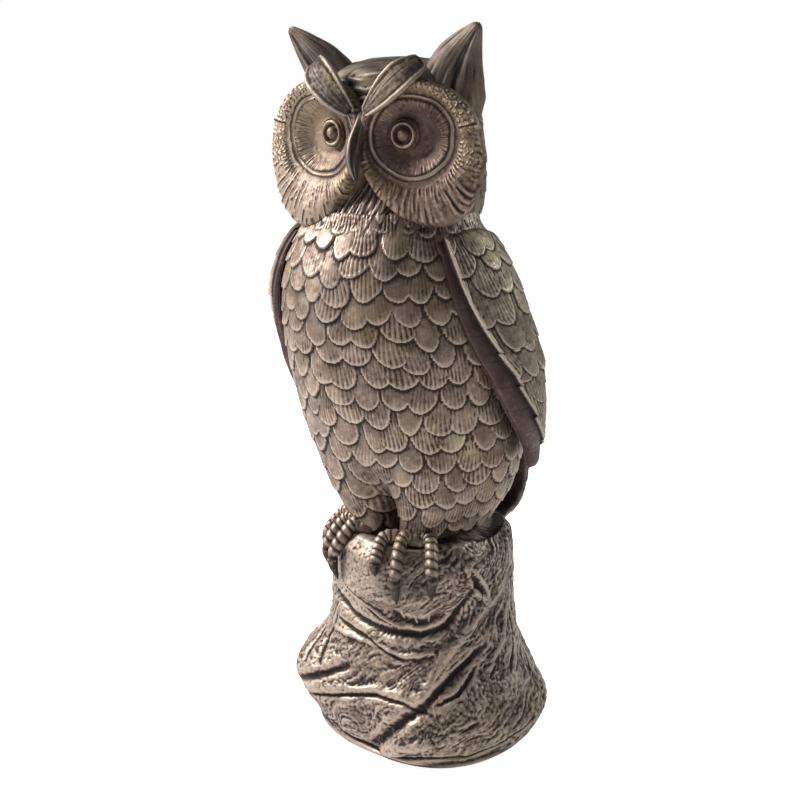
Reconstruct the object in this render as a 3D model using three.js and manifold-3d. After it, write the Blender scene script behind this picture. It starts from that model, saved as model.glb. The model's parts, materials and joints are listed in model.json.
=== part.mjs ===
// Owl figurine perched on a tree stump: bronze-effect resin castings, bonded together over foam cores, on a
// stump that is filled with ballast and closed by a plate. Millimetres, +Z up. The owl faces -Y and its left
// side is +X. The origin is on the ground, below the middle of the figure.

import * as THREE from "three";
import { mergeVertices } from "three/addons/utils/BufferGeometryUtils.js";
import Module from "manifold-3d";

const wasm = await Module();
wasm.setup();

// ---------------------------------------------------------------- Driving dimensions

const glueGap = 0.3; // bonded faces stand this far apart
const wall = 7; // thickness of each hollow casting
const coreGap = 0.4; // between a casting's wall and the core inside it

const stump = {
  height: 117, // from its foot to the seat under the owl
  topRadius: 49,
  footRadius: 66,
  seatThickness: 13,
  burlBulge: 8, // the swelling under the owl's toes
  rootBulge: 12,
};

const body = {
  height: 173,
  halfWidth: 63,
  frontDepth: 55,
  backDepth: 48,
  lean: 22, // how far forward the neck stands of the feet
  sway: 6, // how far it stands to the owl's right of them
  floorThickness: 13,
  fillHoleRadius: 9, // the foam goes in through the floor
  thighBulge: 6,
  thighCleft: 9,
};

const head = {
  height: 87,
  halfWidth: 44,
  frontDepth: 26, // the skull behind the face
  backDepth: 36,
  neckOverlap: 13, // how deep the neck plugs into the head
  neckHoleRadius: 12,
};

const face = {
  eyeSpread: 26, // from the middle of the face to the middle of an eye socket
  eyeHeight: 50, // from the chin of the skull to the middle of an eye socket
  sweep: 9, // degrees that each disc is turned back from the middle
  socketRadius: 19,
  rimRise: 2.4, // how far the socket's rim stands off the disc
  dishDepth: 5,
  discThickness: 5,
  standoff: 37.0673, // from the middle of the head forward to where the two discs meet
};

const eye = { radius: 7.5, rise: 4.6, stem: 2.5, clearance: 0.3, inset: 5 };
const beak = { length: 30, width: 10, rise: 8 };
const brow = { halfWidth: 8, halfThickness: 3.6 };
const ear = { height: 41, halfWidth: 15, halfThickness: 5.5, splay: 13, forward: 9, sink: 28 };
const wing = { thickness: 8, hang: 0.56, foot: 0.25, standoff: 1.3, leftFlare: 5, rightFlare: 0.5 };
const tail = { halfWidth: 37, length: 84, thickness: 6.5, standoff: 1.5 };
const foot = { toeRadius: 4, instepRadius: 11, spread: 22, toeGap: 12, reach: 20 };
const rod = { radius: 3, bite: 8, clearance: 0.3, spread: 17 };
const peg = { radius: 2, bite: 4, clearance: 0.3 };
const plate = { thickness: 4, clearance: 0.4, fillerRadius: 11 };
const plug = { nose: 2.5, noseInset: 2, clearance: 0.3, sink: 0.2 };
const pad = { radius: 8, thickness: 1.6 };

// Levels that follow from them
const stumpFoot = pad.thickness + glueGap;
const seat = stumpFoot + stump.height;
const bodyFloor = seat + glueGap;
const neckTop = bodyFloor + body.height;
const headFloor = neckTop - head.neckOverlap;
const headTop = headFloor + head.height;
const headMiddle = 2 - body.lean; // the head stands over the neck
const rad = THREE.MathUtils.degToRad;

// ---------------------------------------------------------------- Tools

// A smooth curve through evenly spaced values, read at a share from 0 to 1.
const along = (values, share) =>
  new THREE.SplineCurve(values.map((v, i) => new THREE.Vector2(i, v))).getPoint(
    THREE.MathUtils.clamp(share, 0, 1),
  ).y;

// The same round a full turn, read at an angle in degrees.
const around = (values, degrees) => {
  const share = THREE.MathUtils.euclideanModulo(degrees, 360) / 360;
  const ring = [values.at(-1), ...values, values[0], values[1]];
  return along(ring, (1 + share * values.length) / (ring.length - 1));
};

// A soft swelling of height 1 at the middle, which fades over the width.
const swell = (distance, width) => Math.exp(-((distance / width) ** 2));

const ramp = (x, low, high) => THREE.MathUtils.smoothstep(x, low, high);

// Moves every vertex of a geometry by a rule and closes its seams.
function sculpt(geometry, rule) {
  const shaped = geometry.clone();
  shaped.deleteAttribute("normal");
  shaped.deleteAttribute("uv");
  const position = shaped.attributes.position;
  const p = new THREE.Vector3();
  for (let i = 0; i < position.count; i++) {
    rule(p.fromBufferAttribute(position, i));
    position.setXYZ(i, p.x, p.y, p.z);
  }
  return mergeVertices(shaped, 1e-3);
}

// A closed upright column whose skin is given by rule(turn, share) and whose caps close on its middle line.
// turn is the angle in degrees from the front, towards +X, and share runs from 0 at the floor to 1 at the
// top.
function column(sides, rings, rule, middle) {
  const unit = new THREE.CylinderGeometry(1, 1, 1, sides, rings)
    .rotateX(Math.PI / 2)
    .translate(0, 0, 0.5);
  return sculpt(unit, (p) => {
    const turn = THREE.MathUtils.radToDeg(Math.atan2(p.x, -p.y));
    p.copy(Math.hypot(p.x, p.y) < 0.5 ? middle(p.z) : rule(turn, p.z));
  });
}

// A closed rounded bar along a curve. size(share) gives its half width and half height, and up is the way
// that its height points.
function bar(curve, size, up, sides = 10, rings = 12) {
  const unit = new THREE.CylinderGeometry(1, 1, 1, sides, rings)
    .rotateX(Math.PI / 2)
    .translate(0, 0, 0.5);
  return sculpt(unit, (p) => {
    const [halfWidth, halfHeight] = size(p.z);
    const ahead = curve.getTangent(p.z);
    const side = new THREE.Vector3().crossVectors(up, ahead).normalize();
    const lift = new THREE.Vector3().crossVectors(ahead, side).normalize();
    const onCurve = curve.getPoint(p.z);
    const [x, y] = [p.x * halfWidth, p.y * halfHeight];
    p.copy(onCurve).addScaledVector(side, x).addScaledVector(lift, y);
  });
}

const curveThrough = (...points) =>
  new THREE.CatmullRomCurve3(points.map((p) => new THREE.Vector3(...p)));

const solidOf = (geometry) =>
  new wasm.Manifold(
    new wasm.Mesh({
      numProp: 3,
      vertProperties: geometry.attributes.position.array,
      triVerts: new Uint32Array(geometry.index.array),
    }),
  );

function geometryOf(solid) {
  const mesh = solid.getMesh();
  return new THREE.BufferGeometry()
    .setAttribute("position", new THREE.BufferAttribute(mesh.vertProperties, 3))
    .setIndex(new THREE.BufferAttribute(mesh.triVerts, 1));
}

// A geometry less others.
const less = (geometry, ...cutters) =>
  geometryOf(cutters.reduce((solid, c) => solid.subtract(solidOf(c)), solidOf(geometry)));

// Several overlapping geometries as one.
const joined = (...geometries) =>
  geometryOf(geometries.slice(1).reduce((s, g) => s.add(solidOf(g)), solidOf(geometries[0])));

// The right-hand copy of a left-hand piece, with its faces turned out again.
function mirrored(geometry) {
  const copy = mergeVertices(geometry.clone()).scale(-1, 1, 1);
  const index = copy.index.array;
  for (let i = 0; i < index.length; i += 3) [index[i + 1], index[i + 2]] = [index[i + 2], index[i + 1]];
  return copy;
}

// A round rod from one point to another.
const rodBetween = (from, to, radius, sides = 12) =>
  bar(new THREE.LineCurve3(from, to), () => [radius, radius], sideways(from, to), sides, 1);

// A direction that isn't along the line from one point to another.
const sideways = (from, to) =>
  Math.abs(to.x - from.x) > Math.abs(to.z - from.z)
    ? new THREE.Vector3(0, 0, 1)
    : new THREE.Vector3(1, 0, 0);

// ---------------------------------------------------------------- Stump

// How far the stump's foot reaches every 45 degrees from the front, towards +X, as shares of its radius.
const footPlan = [0.9, 1.09, 1.05, 1, 0.97, 1, 1.02, 0.93];

// The skin of the stump. grow moves it out, or in where it is negative.
function stumpSkin(turn, share, grow = 0) {
  const flare = along([0.9, 1, 0.78, 0.36, 0.16, 0.08, 0.03, 0], share);
  const roots =
    swell(turn + 57, 34) * swell(share - 0.27, 0.15) +
    0.3 * swell(turn - 104, 30) * swell(share - 0.13, 0.16) +
    0.25 * swell(Math.abs(turn) - 172, 30) * swell(share - 0.16, 0.2);
  const burl = swell(turn - 12, 46) * ramp(share, 0.69, 0.79) * (1 - 0.45 * ramp(share, 0.86, 1));
  const foot = stump.footRadius * around(footPlan, turn);
  const radius =
    THREE.MathUtils.lerp(stump.topRadius, foot, flare) +
    stump.rootBulge * roots +
    stump.burlBulge * burl +
    grow;
  const end = share === 0 ? -grow : share === 1 ? grow : 0;
  return new THREE.Vector3(
    radius * Math.sin(rad(turn)),
    -radius * Math.cos(rad(turn)),
    stumpFoot + stump.height * share + end,
  );
}

const stumpColumn = (grow = 0) =>
  column(
    32,
    14,
    (turn, share) => stumpSkin(turn, share, grow),
    (share) => new THREE.Vector3(0, 0, stumpFoot + stump.height * share + grow * (share * 2 - 1)),
  );

// The room inside the stump, from its foot up to the seat. inset takes it in from the wall.
const stumpRoom = (inset = 0) => {
  const [floor, roof] = [stumpFoot - 1, seat - stump.seatThickness - inset];
  return column(
    20,
    6,
    (turn, share) => {
      const z = THREE.MathUtils.lerp(floor, roof, share);
      const p = stumpSkin(turn, Math.max(0, (z - stumpFoot) / stump.height), -wall - inset);
      return p.setZ(z);
    },
    (share) => new THREE.Vector3(0, 0, THREE.MathUtils.lerp(floor, roof, share)),
  );
};

// ---------------------------------------------------------------- Body

// The middle of the body at a share of its height.
const bodyMiddle = (share) => {
  const bend = along([0, 0.05, 0.27, 0.5, 0.7, 0.88, 1, 1], share);
  return new THREE.Vector3(-body.sway * bend, -body.lean * bend, bodyFloor + body.height * share);
};

// The skin of the body, from the seat to the top of the neck.
function bodySkin(turn, share, grow = 0) {
  const width = along([0.68, 0.82, 0.93, 0.985, 1, 0.985, 0.91, 0.72], share);
  const [c, s] = [Math.cos(rad(turn)), Math.sin(rad(turn))];
  const front = body.frontDepth * along([0.66, 0.76, 0.9, 0.98, 1, 0.97, 0.87, 0.68], share);
  const back = body.backDepth * along([0.78, 0.9, 0.98, 1, 1, 0.98, 0.9, 0.72], share);
  const thigh = swell(Math.abs(turn) - 30, 20) * swell(share - 0.15, 0.17);
  const cleft = swell(turn, 9) * (1 - ramp(share, 0.06, 0.36));
  const out = body.thighBulge * thigh - body.thighCleft * cleft + grow;
  const end = share === 0 ? -grow : share === 1 ? grow : 0;
  return bodyMiddle(share).add(
    new THREE.Vector3((body.halfWidth * width + out) * s, -((c > 0 ? front : back) + out) * c, end),
  );
}

const bodyColumn = (grow = 0) =>
  column(
    32,
    16,
    (turn, share) => bodySkin(turn, share, grow),
    (share) => bodyMiddle(share).add(new THREE.Vector3(0, 0, grow * (share * 2 - 1))),
  );

// The room inside the body. inset takes it in from the wall.
const bodyRoom = (inset = 0) => {
  const low = (body.floorThickness + inset) / body.height;
  const high = 1 - (wall + inset) / body.height;
  const level = (share) => THREE.MathUtils.lerp(low, high, share);
  return column(
    20,
    8,
    (turn, share) => bodySkin(turn, level(share), -wall - inset),
    (share) => bodyMiddle(level(share)),
  );
};

// ---------------------------------------------------------------- Head

function headSkin(turn, share, grow = 0) {
  const width = along([0.86, 0.97, 1, 1, 1, 0.97, 0.88, 0.64], share);
  const depth = Math.cos(rad(turn)) > 0 ? head.frontDepth : head.backDepth;
  const end = share === 0 ? -grow : share === 1 ? grow : 0;
  return new THREE.Vector3(
    (head.halfWidth * width + grow) * Math.sin(rad(turn)),
    headMiddle - (depth * width + grow) * Math.cos(rad(turn)),
    headFloor + head.height * share + end,
  );
}

const headColumn = (grow = 0) =>
  column(
    28,
    10,
    (turn, share) => headSkin(turn, share, grow),
    (share) => new THREE.Vector3(0, headMiddle, headFloor + head.height * share + grow * (share * 2 - 1)),
  );

// The room inside the head, above the neck.
const headRoom = (inset = 0) => {
  const low = (head.neckOverlap + wall + inset) / head.height;
  const high = 1 - (wall + inset) / head.height;
  const level = (share) => THREE.MathUtils.lerp(low, high, share);
  return column(
    16,
    5,
    (turn, share) => headSkin(turn, level(share), -wall - inset),
    (share) => new THREE.Vector3(0, headMiddle, headFloor + head.height * level(share)),
  );
};

// ---------------------------------------------------------------- Face

// A point in the left disc's own axes: out from the middle of the face, up, and forward off the disc.
const eyeLevel = headFloor + face.eyeHeight;
const faceFront = headMiddle - face.standoff;
const discFrame = new THREE.Matrix4()
  .makeTranslation(face.eyeSpread, faceFront + face.eyeSpread * Math.sin(rad(face.sweep)), eyeLevel)
  .multiply(new THREE.Matrix4().makeRotationZ(rad(face.sweep)));
const onDisc = (outward, up, forward) =>
  new THREE.Vector3(outward, -forward, up).applyMatrix4(discFrame);

// The disc's outline: its radius every 30 degrees, from outward and up round to inward and down. Inward, it
// reaches just past the middle of the face, where the two discs are cut to meet.
const toMiddle = face.eyeSpread + 1;
const discOutline = [37, 34.5, 30, 27, 27, toMiddle, toMiddle, toMiddle + 5, 37, 42.5, 43.5, 40];

// The disc's section from the middle of the socket to the rim: a share of the way out past the socket's rim,
// and a height. The socket itself stays round.
function faceDisc(grow = 0) {
  const r = face.socketRadius;
  const dish = -face.dishDepth;
  const back = -face.discThickness;
  const profile = [
    [0, back + dish - grow],
    [r * 0.8, back + dish - grow],
    [r + 3 + 0.5, back - 1 - grow],
    [r + 3 + 1, back + 1 - grow],
    [r + 3 + 1, 0.2 + grow],
    [r + 3 + 0.85, 0.8 + grow],
    [r + 3 + 0.4, -0.6 + grow],
    [r + 3, 0 + grow],
    [r + 1.2, face.rimRise + grow],
    [r - 0.8, face.rimRise + grow],
    [r - 3.5, dish * 0.45 + grow],
    [r * 0.5, dish + grow],
    [0, dish + grow],
  ].map(([radius, height]) => new THREE.Vector2(radius, height));
  const spun = new THREE.LatheGeometry(profile, 30);
  const flat = r + 3;
  return sculpt(spun, (p) => {
    const radius = Math.hypot(p.x, p.z);
    const angle = Math.atan2(-p.z, p.x);
    const rim = around(discOutline, THREE.MathUtils.radToDeg(angle)) + grow;
    const wide = radius > flat ? THREE.MathUtils.lerp(flat, rim, radius - flat) : radius;
    p.copy(onDisc(wide * Math.cos(angle), wide * Math.sin(angle), p.y));
  });
}

// The seat that the eye drops into, and the eye: an iris ring round a domed pupil.
const eyeMiddle = (height) => onDisc(-eye.inset, 1, height);
const eyeSeat = () =>
  rodBetween(
    eyeMiddle(-face.dishDepth - eye.stem),
    eyeMiddle(eye.rise * 2),
    eye.radius + eye.clearance,
    18,
  );
function eyeball() {
  const floor = -face.dishDepth - eye.stem + eye.clearance;
  const top = -face.dishDepth + eye.rise;
  const profile = [
    [0, floor],
    [1, floor],
    [1, -face.dishDepth + 0.2],
    [0.93, top - 1.8],
    [0.82, top - 1.2],
    [0.74, top - 0.9],
    [0.62, top - 1.9],
    [0.5, top - 1.7],
    [0.36, top - 0.4],
    [0, top],
  ].map(([share, height]) => new THREE.Vector2(share * eye.radius, height));
  return sculpt(new THREE.LatheGeometry(profile, 18), (p) => {
    p.copy(onDisc(p.x - eye.inset, 1 - p.z, p.y));
  });
}

// The hooked beak, down the middle of the face.
function beakBar(grow = 0) {
  const top = eyeLevel + beak.length * 0.32;
  const curve = curveThrough(
    [0, faceFront + 3, top],
    [0, faceFront - 2, top - beak.length * 0.3],
    [0, faceFront - beak.rise * 0.5, top - beak.length * 0.65],
    [0, faceFront - beak.rise * 0.35, top - beak.length],
  );
  const size = (share) => [
    (beak.width / 2) * along([0.55, 0.85, 1, 0.8, 0.25], share) + grow,
    beak.rise * 0.62 * along([0.6, 0.9, 1, 0.75, 0.25], share) + grow,
  ];
  return bar(curve, size, new THREE.Vector3(0, -1, 0), 10, 7);
}

// The left brow: a leaf that runs from the beak's bridge up over the socket to the crown.
function browBar(grow = 0) {
  const curve = curveThrough(
    onDisc(-21, 10, 2).toArray(),
    onDisc(-11, 20, 3.5).toArray(),
    onDisc(0, 30, 1).toArray(),
    onDisc(8, 36, -7).toArray(),
  );
  const size = (share) => [
    brow.halfWidth * along([0.35, 0.75, 1, 1, 0.45], share) + grow,
    brow.halfThickness * along([0.6, 0.9, 1, 1, 0.6], share) + grow,
  ];
  return bar(curve, size, new THREE.Vector3(0.1, -0.9, 0.42), 10, 7);
}

// The left ear tuft, which splays outward from the corner of the crown.
const earFloor = headTop - ear.sink;
function earBar(grow = 0) {
  const baseX = head.halfWidth * 0.82;
  const baseY = headMiddle - head.frontDepth * 0.35;
  const curve = curveThrough(
    [baseX - 3, baseY + 2, earFloor],
    [baseX + ear.splay * 0.3, baseY - ear.forward * 0.1, earFloor + ear.height * 0.4],
    [baseX + ear.splay * 0.75, baseY - ear.forward * 0.55, earFloor + ear.height * 0.75],
    [baseX + ear.splay * 1.3, baseY - ear.forward, earFloor + ear.height],
  );
  const size = (share) => [
    ear.halfWidth * along([1, 0.92, 0.62, 0.1], share) + grow,
    ear.halfThickness * along([1, 0.9, 0.6, 0.12], share) + grow,
  ];
  return bar(curve, size, new THREE.Vector3(0.25, -1, 0), 10, 7);
}

// ---------------------------------------------------------------- Wings and tail

// A point on a wing, on the owl's left where side is 1 and on its right where side is -1. s runs from its
// front edge to its back edge, t from its top to its foot, and depth from its inner face to its outer one.
// It follows the body down to the body's widest level and hangs from there.
function wingPoint(side, s, t, depth, grow = 0) {
  const front = along([56, 62, 71, 84, 98], t);
  const back = along([138, 160, 164, 154, 128], t);
  const turn = THREE.MathUtils.lerp(front, back, s);
  const top = along([0.93, 0.95, 0.93, 0.9], s);
  const foot = along([0, 0, 0.08, 0.22], s) + wing.foot;
  const share = THREE.MathUtils.lerp(top, foot, t);
  const hung = Math.max(share, wing.hang);
  const thick = wing.thickness * along([0.5, 0.9, 1, 1, 0.85], t) * along([1, 1, 0.8, 0.55], s);
  const flare = side > 0 ? wing.leftFlare : wing.rightFlare;
  const out = wing.standoff + thick * depth + flare * ramp(t, 0.3, 0.8) + grow * (depth * 2 - 1);
  const p = bodySkin(turn * side, hung, out);
  const edge = (v) => (v === 0 ? -1 : v === 1 ? 1 : 0) * grow;
  p.z = bodyFloor + body.height * share - edge(t);
  return p.add(new THREE.Vector3(0, edge(s), 0));
}

const wingSlab = (side, grow = 0) =>
  sculpt(new THREE.BoxGeometry(1, 1, 1, 9, 1, 11), (p) => {
    p.copy(wingPoint(side, 0.5 + side * p.x, 0.5 - p.z, 0.5 - p.y, grow));
  });

// The tail comes out from under the wings, follows the body's back and hangs behind the stump's seat.
function tailSlab() {
  const top = seat + tail.length * 0.72;
  return sculpt(new THREE.BoxGeometry(1, 1, 1, 8, 1, 8), (p) => {
    const share = 0.5 - p.z;
    const across = p.x * 2;
    const x = across * tail.halfWidth * along([0.8, 1, 1, 0.85, 0.55], share);
    const z = top - tail.length * (share - 0.12 * across ** 2 * share);
    const turn = 180 - THREE.MathUtils.radToDeg(Math.asin(x / (body.halfWidth * 1.1)));
    const skin = bodySkin(turn, Math.max(0.06, (z - bodyFloor) / body.height)).y;
    const edge = stump.topRadius * Math.sqrt(1 - (x / (stump.topRadius * 1.3)) ** 2);
    const inner = THREE.MathUtils.lerp(skin, Math.max(skin, edge), ramp(share, 0.2, 0.6));
    p.set(x, inner + tail.standoff + (0.5 + p.y) * tail.thickness, z);
  });
}

// ---------------------------------------------------------------- Feet

// A foot: an instep under the thigh's front, and three toes that come out of it and curl over the stump's
// edge. side is 1 for the left foot and -1 for the right one.
function footToes(side) {
  const middle = THREE.MathUtils.radToDeg(Math.asin(foot.spread / stump.topRadius)) * side;
  const knuckle = stumpSkin(middle, 1).multiplyScalar(0.84).setZ(seat + foot.toeRadius);
  const instep = sculpt(new THREE.SphereGeometry(1, 12, 8), (p) => {
    const half = new THREE.Vector3(foot.instepRadius, foot.instepRadius * 0.8, foot.toeRadius * 1.25);
    p.multiply(half).add(knuckle);
  });
  const toes = [-1, 0, 1].map((step) => {
    const turn = middle + step * foot.toeGap;
    const lift = foot.toeRadius * 0.55;
    const drop = (foot.reach / stump.height) * (step === 0 ? 1.12 : 0.95);
    const edge = stumpSkin(turn, 1, -1.5).setZ(seat + lift + 0.6);
    const curve = curveThrough(
      knuckle.toArray(),
      edge.toArray(),
      stumpSkin(turn, 1 - drop * 0.42, lift + 0.8).toArray(),
      stumpSkin(turn, 1 - drop, lift - 0.6).toArray(),
    );
    const size = (share) => {
      const radius = foot.toeRadius * along([0.9, 1.05, 1.05, 0.95, 0.3], share);
      return [radius, radius];
    };
    return bar(curve, size, new THREE.Vector3(0.3, -0.6, 0.75), 8, 8);
  });
  return joined(instep, ...toes);
}

// ---------------------------------------------------------------- Rods, pegs, plate and pads

// A steel rod from the body's floor down into the stump's seat, under one leg.
const legRod = (side, grow = 0) => {
  const [x, y] = [rod.spread * side, -8];
  return rodBetween(
    new THREE.Vector3(x, y, seat - rod.bite - grow),
    new THREE.Vector3(x, y, bodyFloor + rod.bite + grow),
    rod.radius + grow,
  );
};

// A peg through the body's wall into a wing's thick upper part.
const wingPeg = (side, grow = 0) => {
  const level = 0.66;
  const skin = bodySkin(92 * side, level);
  const reach = (distance) => new THREE.Vector3(skin.x + side * distance, skin.y, skin.z);
  return rodBetween(
    reach(-peg.bite - grow),
    reach(wing.standoff + peg.bite + grow),
    peg.radius + grow,
    12,
  );
};

// Round discs about the stump's middle line, and what fills its room between two levels.
const disc = (radius, floor, height, sides = 20) =>
  rodBetween(new THREE.Vector3(0, 0, floor), new THREE.Vector3(0, 0, floor + height), radius, sides);
const roomBetween = (inset, low, high) => {
  const wide = stump.footRadius * 2;
  return less(stumpRoom(inset), disc(wide, low - wide, wide), disc(wide, high, wide));
};

// The plate that closes the stump, just inside its foot.
const plateFloor = stumpFoot;
const plateTop = plateFloor + plate.thickness;

// The filler plug: a stem in the plate's hole, and a narrower nose above it that guides it in.
const fillerPlug = () =>
  joined(
    disc(plate.fillerRadius - plug.clearance, plateFloor + plug.sink, plate.thickness),
    disc(plate.fillerRadius - plug.noseInset, plateTop, plug.nose),
  );

const padPlaces = [45, 135, 225, 315].map((turn) => {
  const middle = stumpSkin(turn, 0, -wall - pad.radius - 4);
  return new THREE.Vector3(middle.x, middle.y, 0);
});

// ---------------------------------------------------------------- The owl

const bronze = { color: 0x5b4a3c, roughness: 0.45, metalness: 0.6 };
const materials = {
  bronze: new THREE.MeshStandardMaterial(bronze),
  darkBronze: new THREE.MeshStandardMaterial({ ...bronze, color: 0x3f3230 }),
  paleBronze: new THREE.MeshStandardMaterial({ ...bronze, color: 0x7a6753 }),
  foam: new THREE.MeshStandardMaterial({ color: 0xd8cfa8, roughness: 0.9, metalness: 0 }),
  plaster: new THREE.MeshStandardMaterial({ color: 0xb9b2a6, roughness: 0.95, metalness: 0 }),
  steel: new THREE.MeshStandardMaterial({ color: 0x9a9a98, roughness: 0.35, metalness: 1 }),
  rubber: new THREE.MeshStandardMaterial({ color: 0x1d1c1b, roughness: 0.85, metalness: 0 }),
  felt: new THREE.MeshStandardMaterial({ color: 0x2c3a2e, roughness: 1, metalness: 0 }),
};

const owl = new THREE.Group();
function add(name, geometry, material) {
  const mesh = new THREE.Mesh(geometry, materials[material]);
  mesh.name = name;
  owl.add(mesh);
}
function addPair(name, leftGeometry, material) {
  add(`left_${name}`, leftGeometry, material);
  add(`right_${name}`, mirrored(leftGeometry), material);
}

// Solids grown by the glue gap cut their neighbours.
const grown = {
  stump: stumpColumn(glueGap),
  body: bodyColumn(glueGap),
  head: headColumn(glueGap),
  disc: faceDisc(glueGap),
  beak: beakBar(glueGap),
  brow: browBar(glueGap),
  leftWing: wingSlab(1, glueGap),
  rightWing: wingSlab(-1, glueGap),
};
const bothSides = (geometry) => [geometry, mirrored(geometry)];

// Everything on the owl's right of the middle, which paired pieces stay clear of.
const rightHalf = sculpt(new THREE.BoxGeometry(200, 200, 800), (p) => {
  p.x += glueGap / 2 - 100;
});

const rodHoles = [legRod(1, rod.clearance), legRod(-1, rod.clearance)];
const pegHoles = [wingPeg(1, peg.clearance), wingPeg(-1, peg.clearance)];

add("stump", less(stumpColumn(), stumpRoom(), ...rodHoles), "bronze");
add("base_plate", less(roomBetween(plate.clearance, plateFloor, plateTop),
  disc(plate.fillerRadius, plateFloor - 1, plate.thickness + 2)), "rubber");
add("filler_plug", fillerPlug(), "rubber");
add("ballast", less(roomBetween(coreGap, plateTop + coreGap, seat),
  disc(plate.fillerRadius, 0, plateTop + plug.nose + 1)), "plaster");
padPlaces.forEach((place, i) => {
  const top = new THREE.Vector3(place.x, place.y, pad.thickness);
  add(`foot_pad_${i + 1}`, rodBetween(place, top, pad.radius, 20), "felt");
});

const bodyShell = less(bodyColumn(), bodyRoom(), ...rodHoles, ...pegHoles,
  disc(body.fillHoleRadius, bodyFloor - 1, body.floorThickness + 4));
add("body", bodyShell, "bronze");
add("body_core", bodyRoom(coreGap), "foam");
add("head", less(headColumn(), grown.body, ...bothSides(grown.disc), headRoom(),
  disc(head.neckHoleRadius, headFloor, head.neckOverlap + wall + 4).translate(0, headMiddle, 0)), "bronze");
add("head_core", headRoom(coreGap), "foam");

for (const [name, turned] of [["left", (g) => g], ["right", mirrored]]) {
  const face = less(turned(less(faceDisc(), eyeSeat(), grown.beak, rightHalf)), grown.body);
  add(`${name}_face_disc`, face, "bronze");
}
addPair("eye", eyeball(), "darkBronze");
add("beak", less(beakBar(), grown.head), "darkBronze");
addPair("brow", less(browBar(), grown.head, grown.disc, grown.beak, rightHalf), "paleBronze");
addPair("ear_tuft", less(earBar(), grown.head, grown.disc, grown.brow), "bronze");
for (const [name, side] of [["left", 1], ["right", -1]]) {
  const slab = less(wingSlab(side), grown.body, grown.head, ...bothSides(grown.disc), ...pegHoles);
  add(`${name}_wing`, slab, "bronze");
  add(`${name}_wing_peg`, wingPeg(side), "steel");
}
add("tail", less(tailSlab(), grown.body, grown.stump, grown.leftWing, grown.rightWing), "darkBronze");
add("left_foot", less(footToes(1), grown.stump, grown.body), "paleBronze");
add("right_foot", less(footToes(-1), grown.stump, grown.body), "paleBronze");
add("left_leg_rod", legRod(1), "steel");
add("right_leg_rod", legRod(-1), "steel");

// The origin is below the middle of the whole figure.
const middle = new THREE.Box3().setFromObject(owl).getCenter(new THREE.Vector3());
owl.position.set(-middle.x, -middle.y, 0);

export default owl;
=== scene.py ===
"""A standing owl on a tree stump, cast in sections and finished in aged bronze, with its studio."""

import json
import logging
import math
from collections.abc import Callable, Sequence
from dataclasses import dataclass, field
from enum import Enum

import bmesh
import bpy
import numpy as np
from mathutils import Matrix, Vector

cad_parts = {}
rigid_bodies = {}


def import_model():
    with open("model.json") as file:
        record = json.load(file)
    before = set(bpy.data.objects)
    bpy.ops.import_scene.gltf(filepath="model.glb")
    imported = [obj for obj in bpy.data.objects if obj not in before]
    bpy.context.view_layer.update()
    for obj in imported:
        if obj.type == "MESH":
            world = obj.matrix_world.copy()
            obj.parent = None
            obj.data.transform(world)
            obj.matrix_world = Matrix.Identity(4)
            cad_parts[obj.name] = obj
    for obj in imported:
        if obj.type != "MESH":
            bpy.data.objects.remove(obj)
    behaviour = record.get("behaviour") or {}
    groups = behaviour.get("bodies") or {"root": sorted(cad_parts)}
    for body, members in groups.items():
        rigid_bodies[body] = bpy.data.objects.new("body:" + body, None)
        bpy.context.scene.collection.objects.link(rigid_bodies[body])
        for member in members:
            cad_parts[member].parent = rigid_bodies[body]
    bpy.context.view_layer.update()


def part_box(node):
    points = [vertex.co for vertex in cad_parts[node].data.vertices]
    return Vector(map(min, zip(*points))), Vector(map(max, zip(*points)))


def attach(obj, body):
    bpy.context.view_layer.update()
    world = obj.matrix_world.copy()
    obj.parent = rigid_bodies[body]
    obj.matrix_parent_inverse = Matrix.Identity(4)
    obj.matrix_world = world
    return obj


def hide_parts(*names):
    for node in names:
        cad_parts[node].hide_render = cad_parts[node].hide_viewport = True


log = logging.getLogger("owl")

Array = np.ndarray
MM = 0.001
CAP_ROWS = 9  # rings of cells across a closed end
# the fine relief's measure: it paints grime and painted shade into the grooves, and rubbed paint onto the
# edges
WEAR_AND_SHADE = "wear"  # 0 deep in a groove, 0.5 on the level, 1 on a rubbed edge
# the broad relief's measure: it paints shade into broad hollows and a highlight onto broad swells
HOLLOW = "hollow"  # the same for broad forms
# tone holds the paint's own tone and, in places, painted highlights and shade
TONE = "tone"  # 0 dusky, 0.5 plain, 1 pale
GILT = "gilt"  # 1 where the olive gold shows
WEAR_REACH, WEAR_STEP = 0.9 * MM, 0.2 * MM  # how far off the neighbours are, and what a full edge is
HOLLOW_REACH, HOLLOW_STEP = 4.5 * MM, 0.9 * MM
MERGE, SLIVER = 0.004 * MM, 0.002 * MM  # points and edges below these are joined
END_SHARE = 0.06  # the share of a bar's length over which each end rounds off
WING_END_SHARE, TAIL_END_SHARE = 0.035, 0.04  # the same for the wings and the tail
EYE_DROP = 37 * MM  # from the crown down to the middle of the sockets
LEFT_TOES = ((-21, 0.5), (-9, 1.05), (9, 0.95))  # turn from the foot's middle, and share of the reach
RIGHT_TOES = ((-29, 0.8), (-15, 0.95), (-1, 0.98))


# ---------------------------------------------------------------- Curves and noise


def ramp(x: Array, low: float, high: float) -> Array:
    """A smooth step from 0 at low to 1 at high."""
    t = np.clip((x - low) / (high - low), 0.0, 1.0)
    return t * t * (3 - 2 * t)


def swell(distance: Array, width: float) -> Array:
    """A soft swelling, 1 at its middle, that fades over a width."""
    return np.exp(-((distance / width) ** 2))


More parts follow.
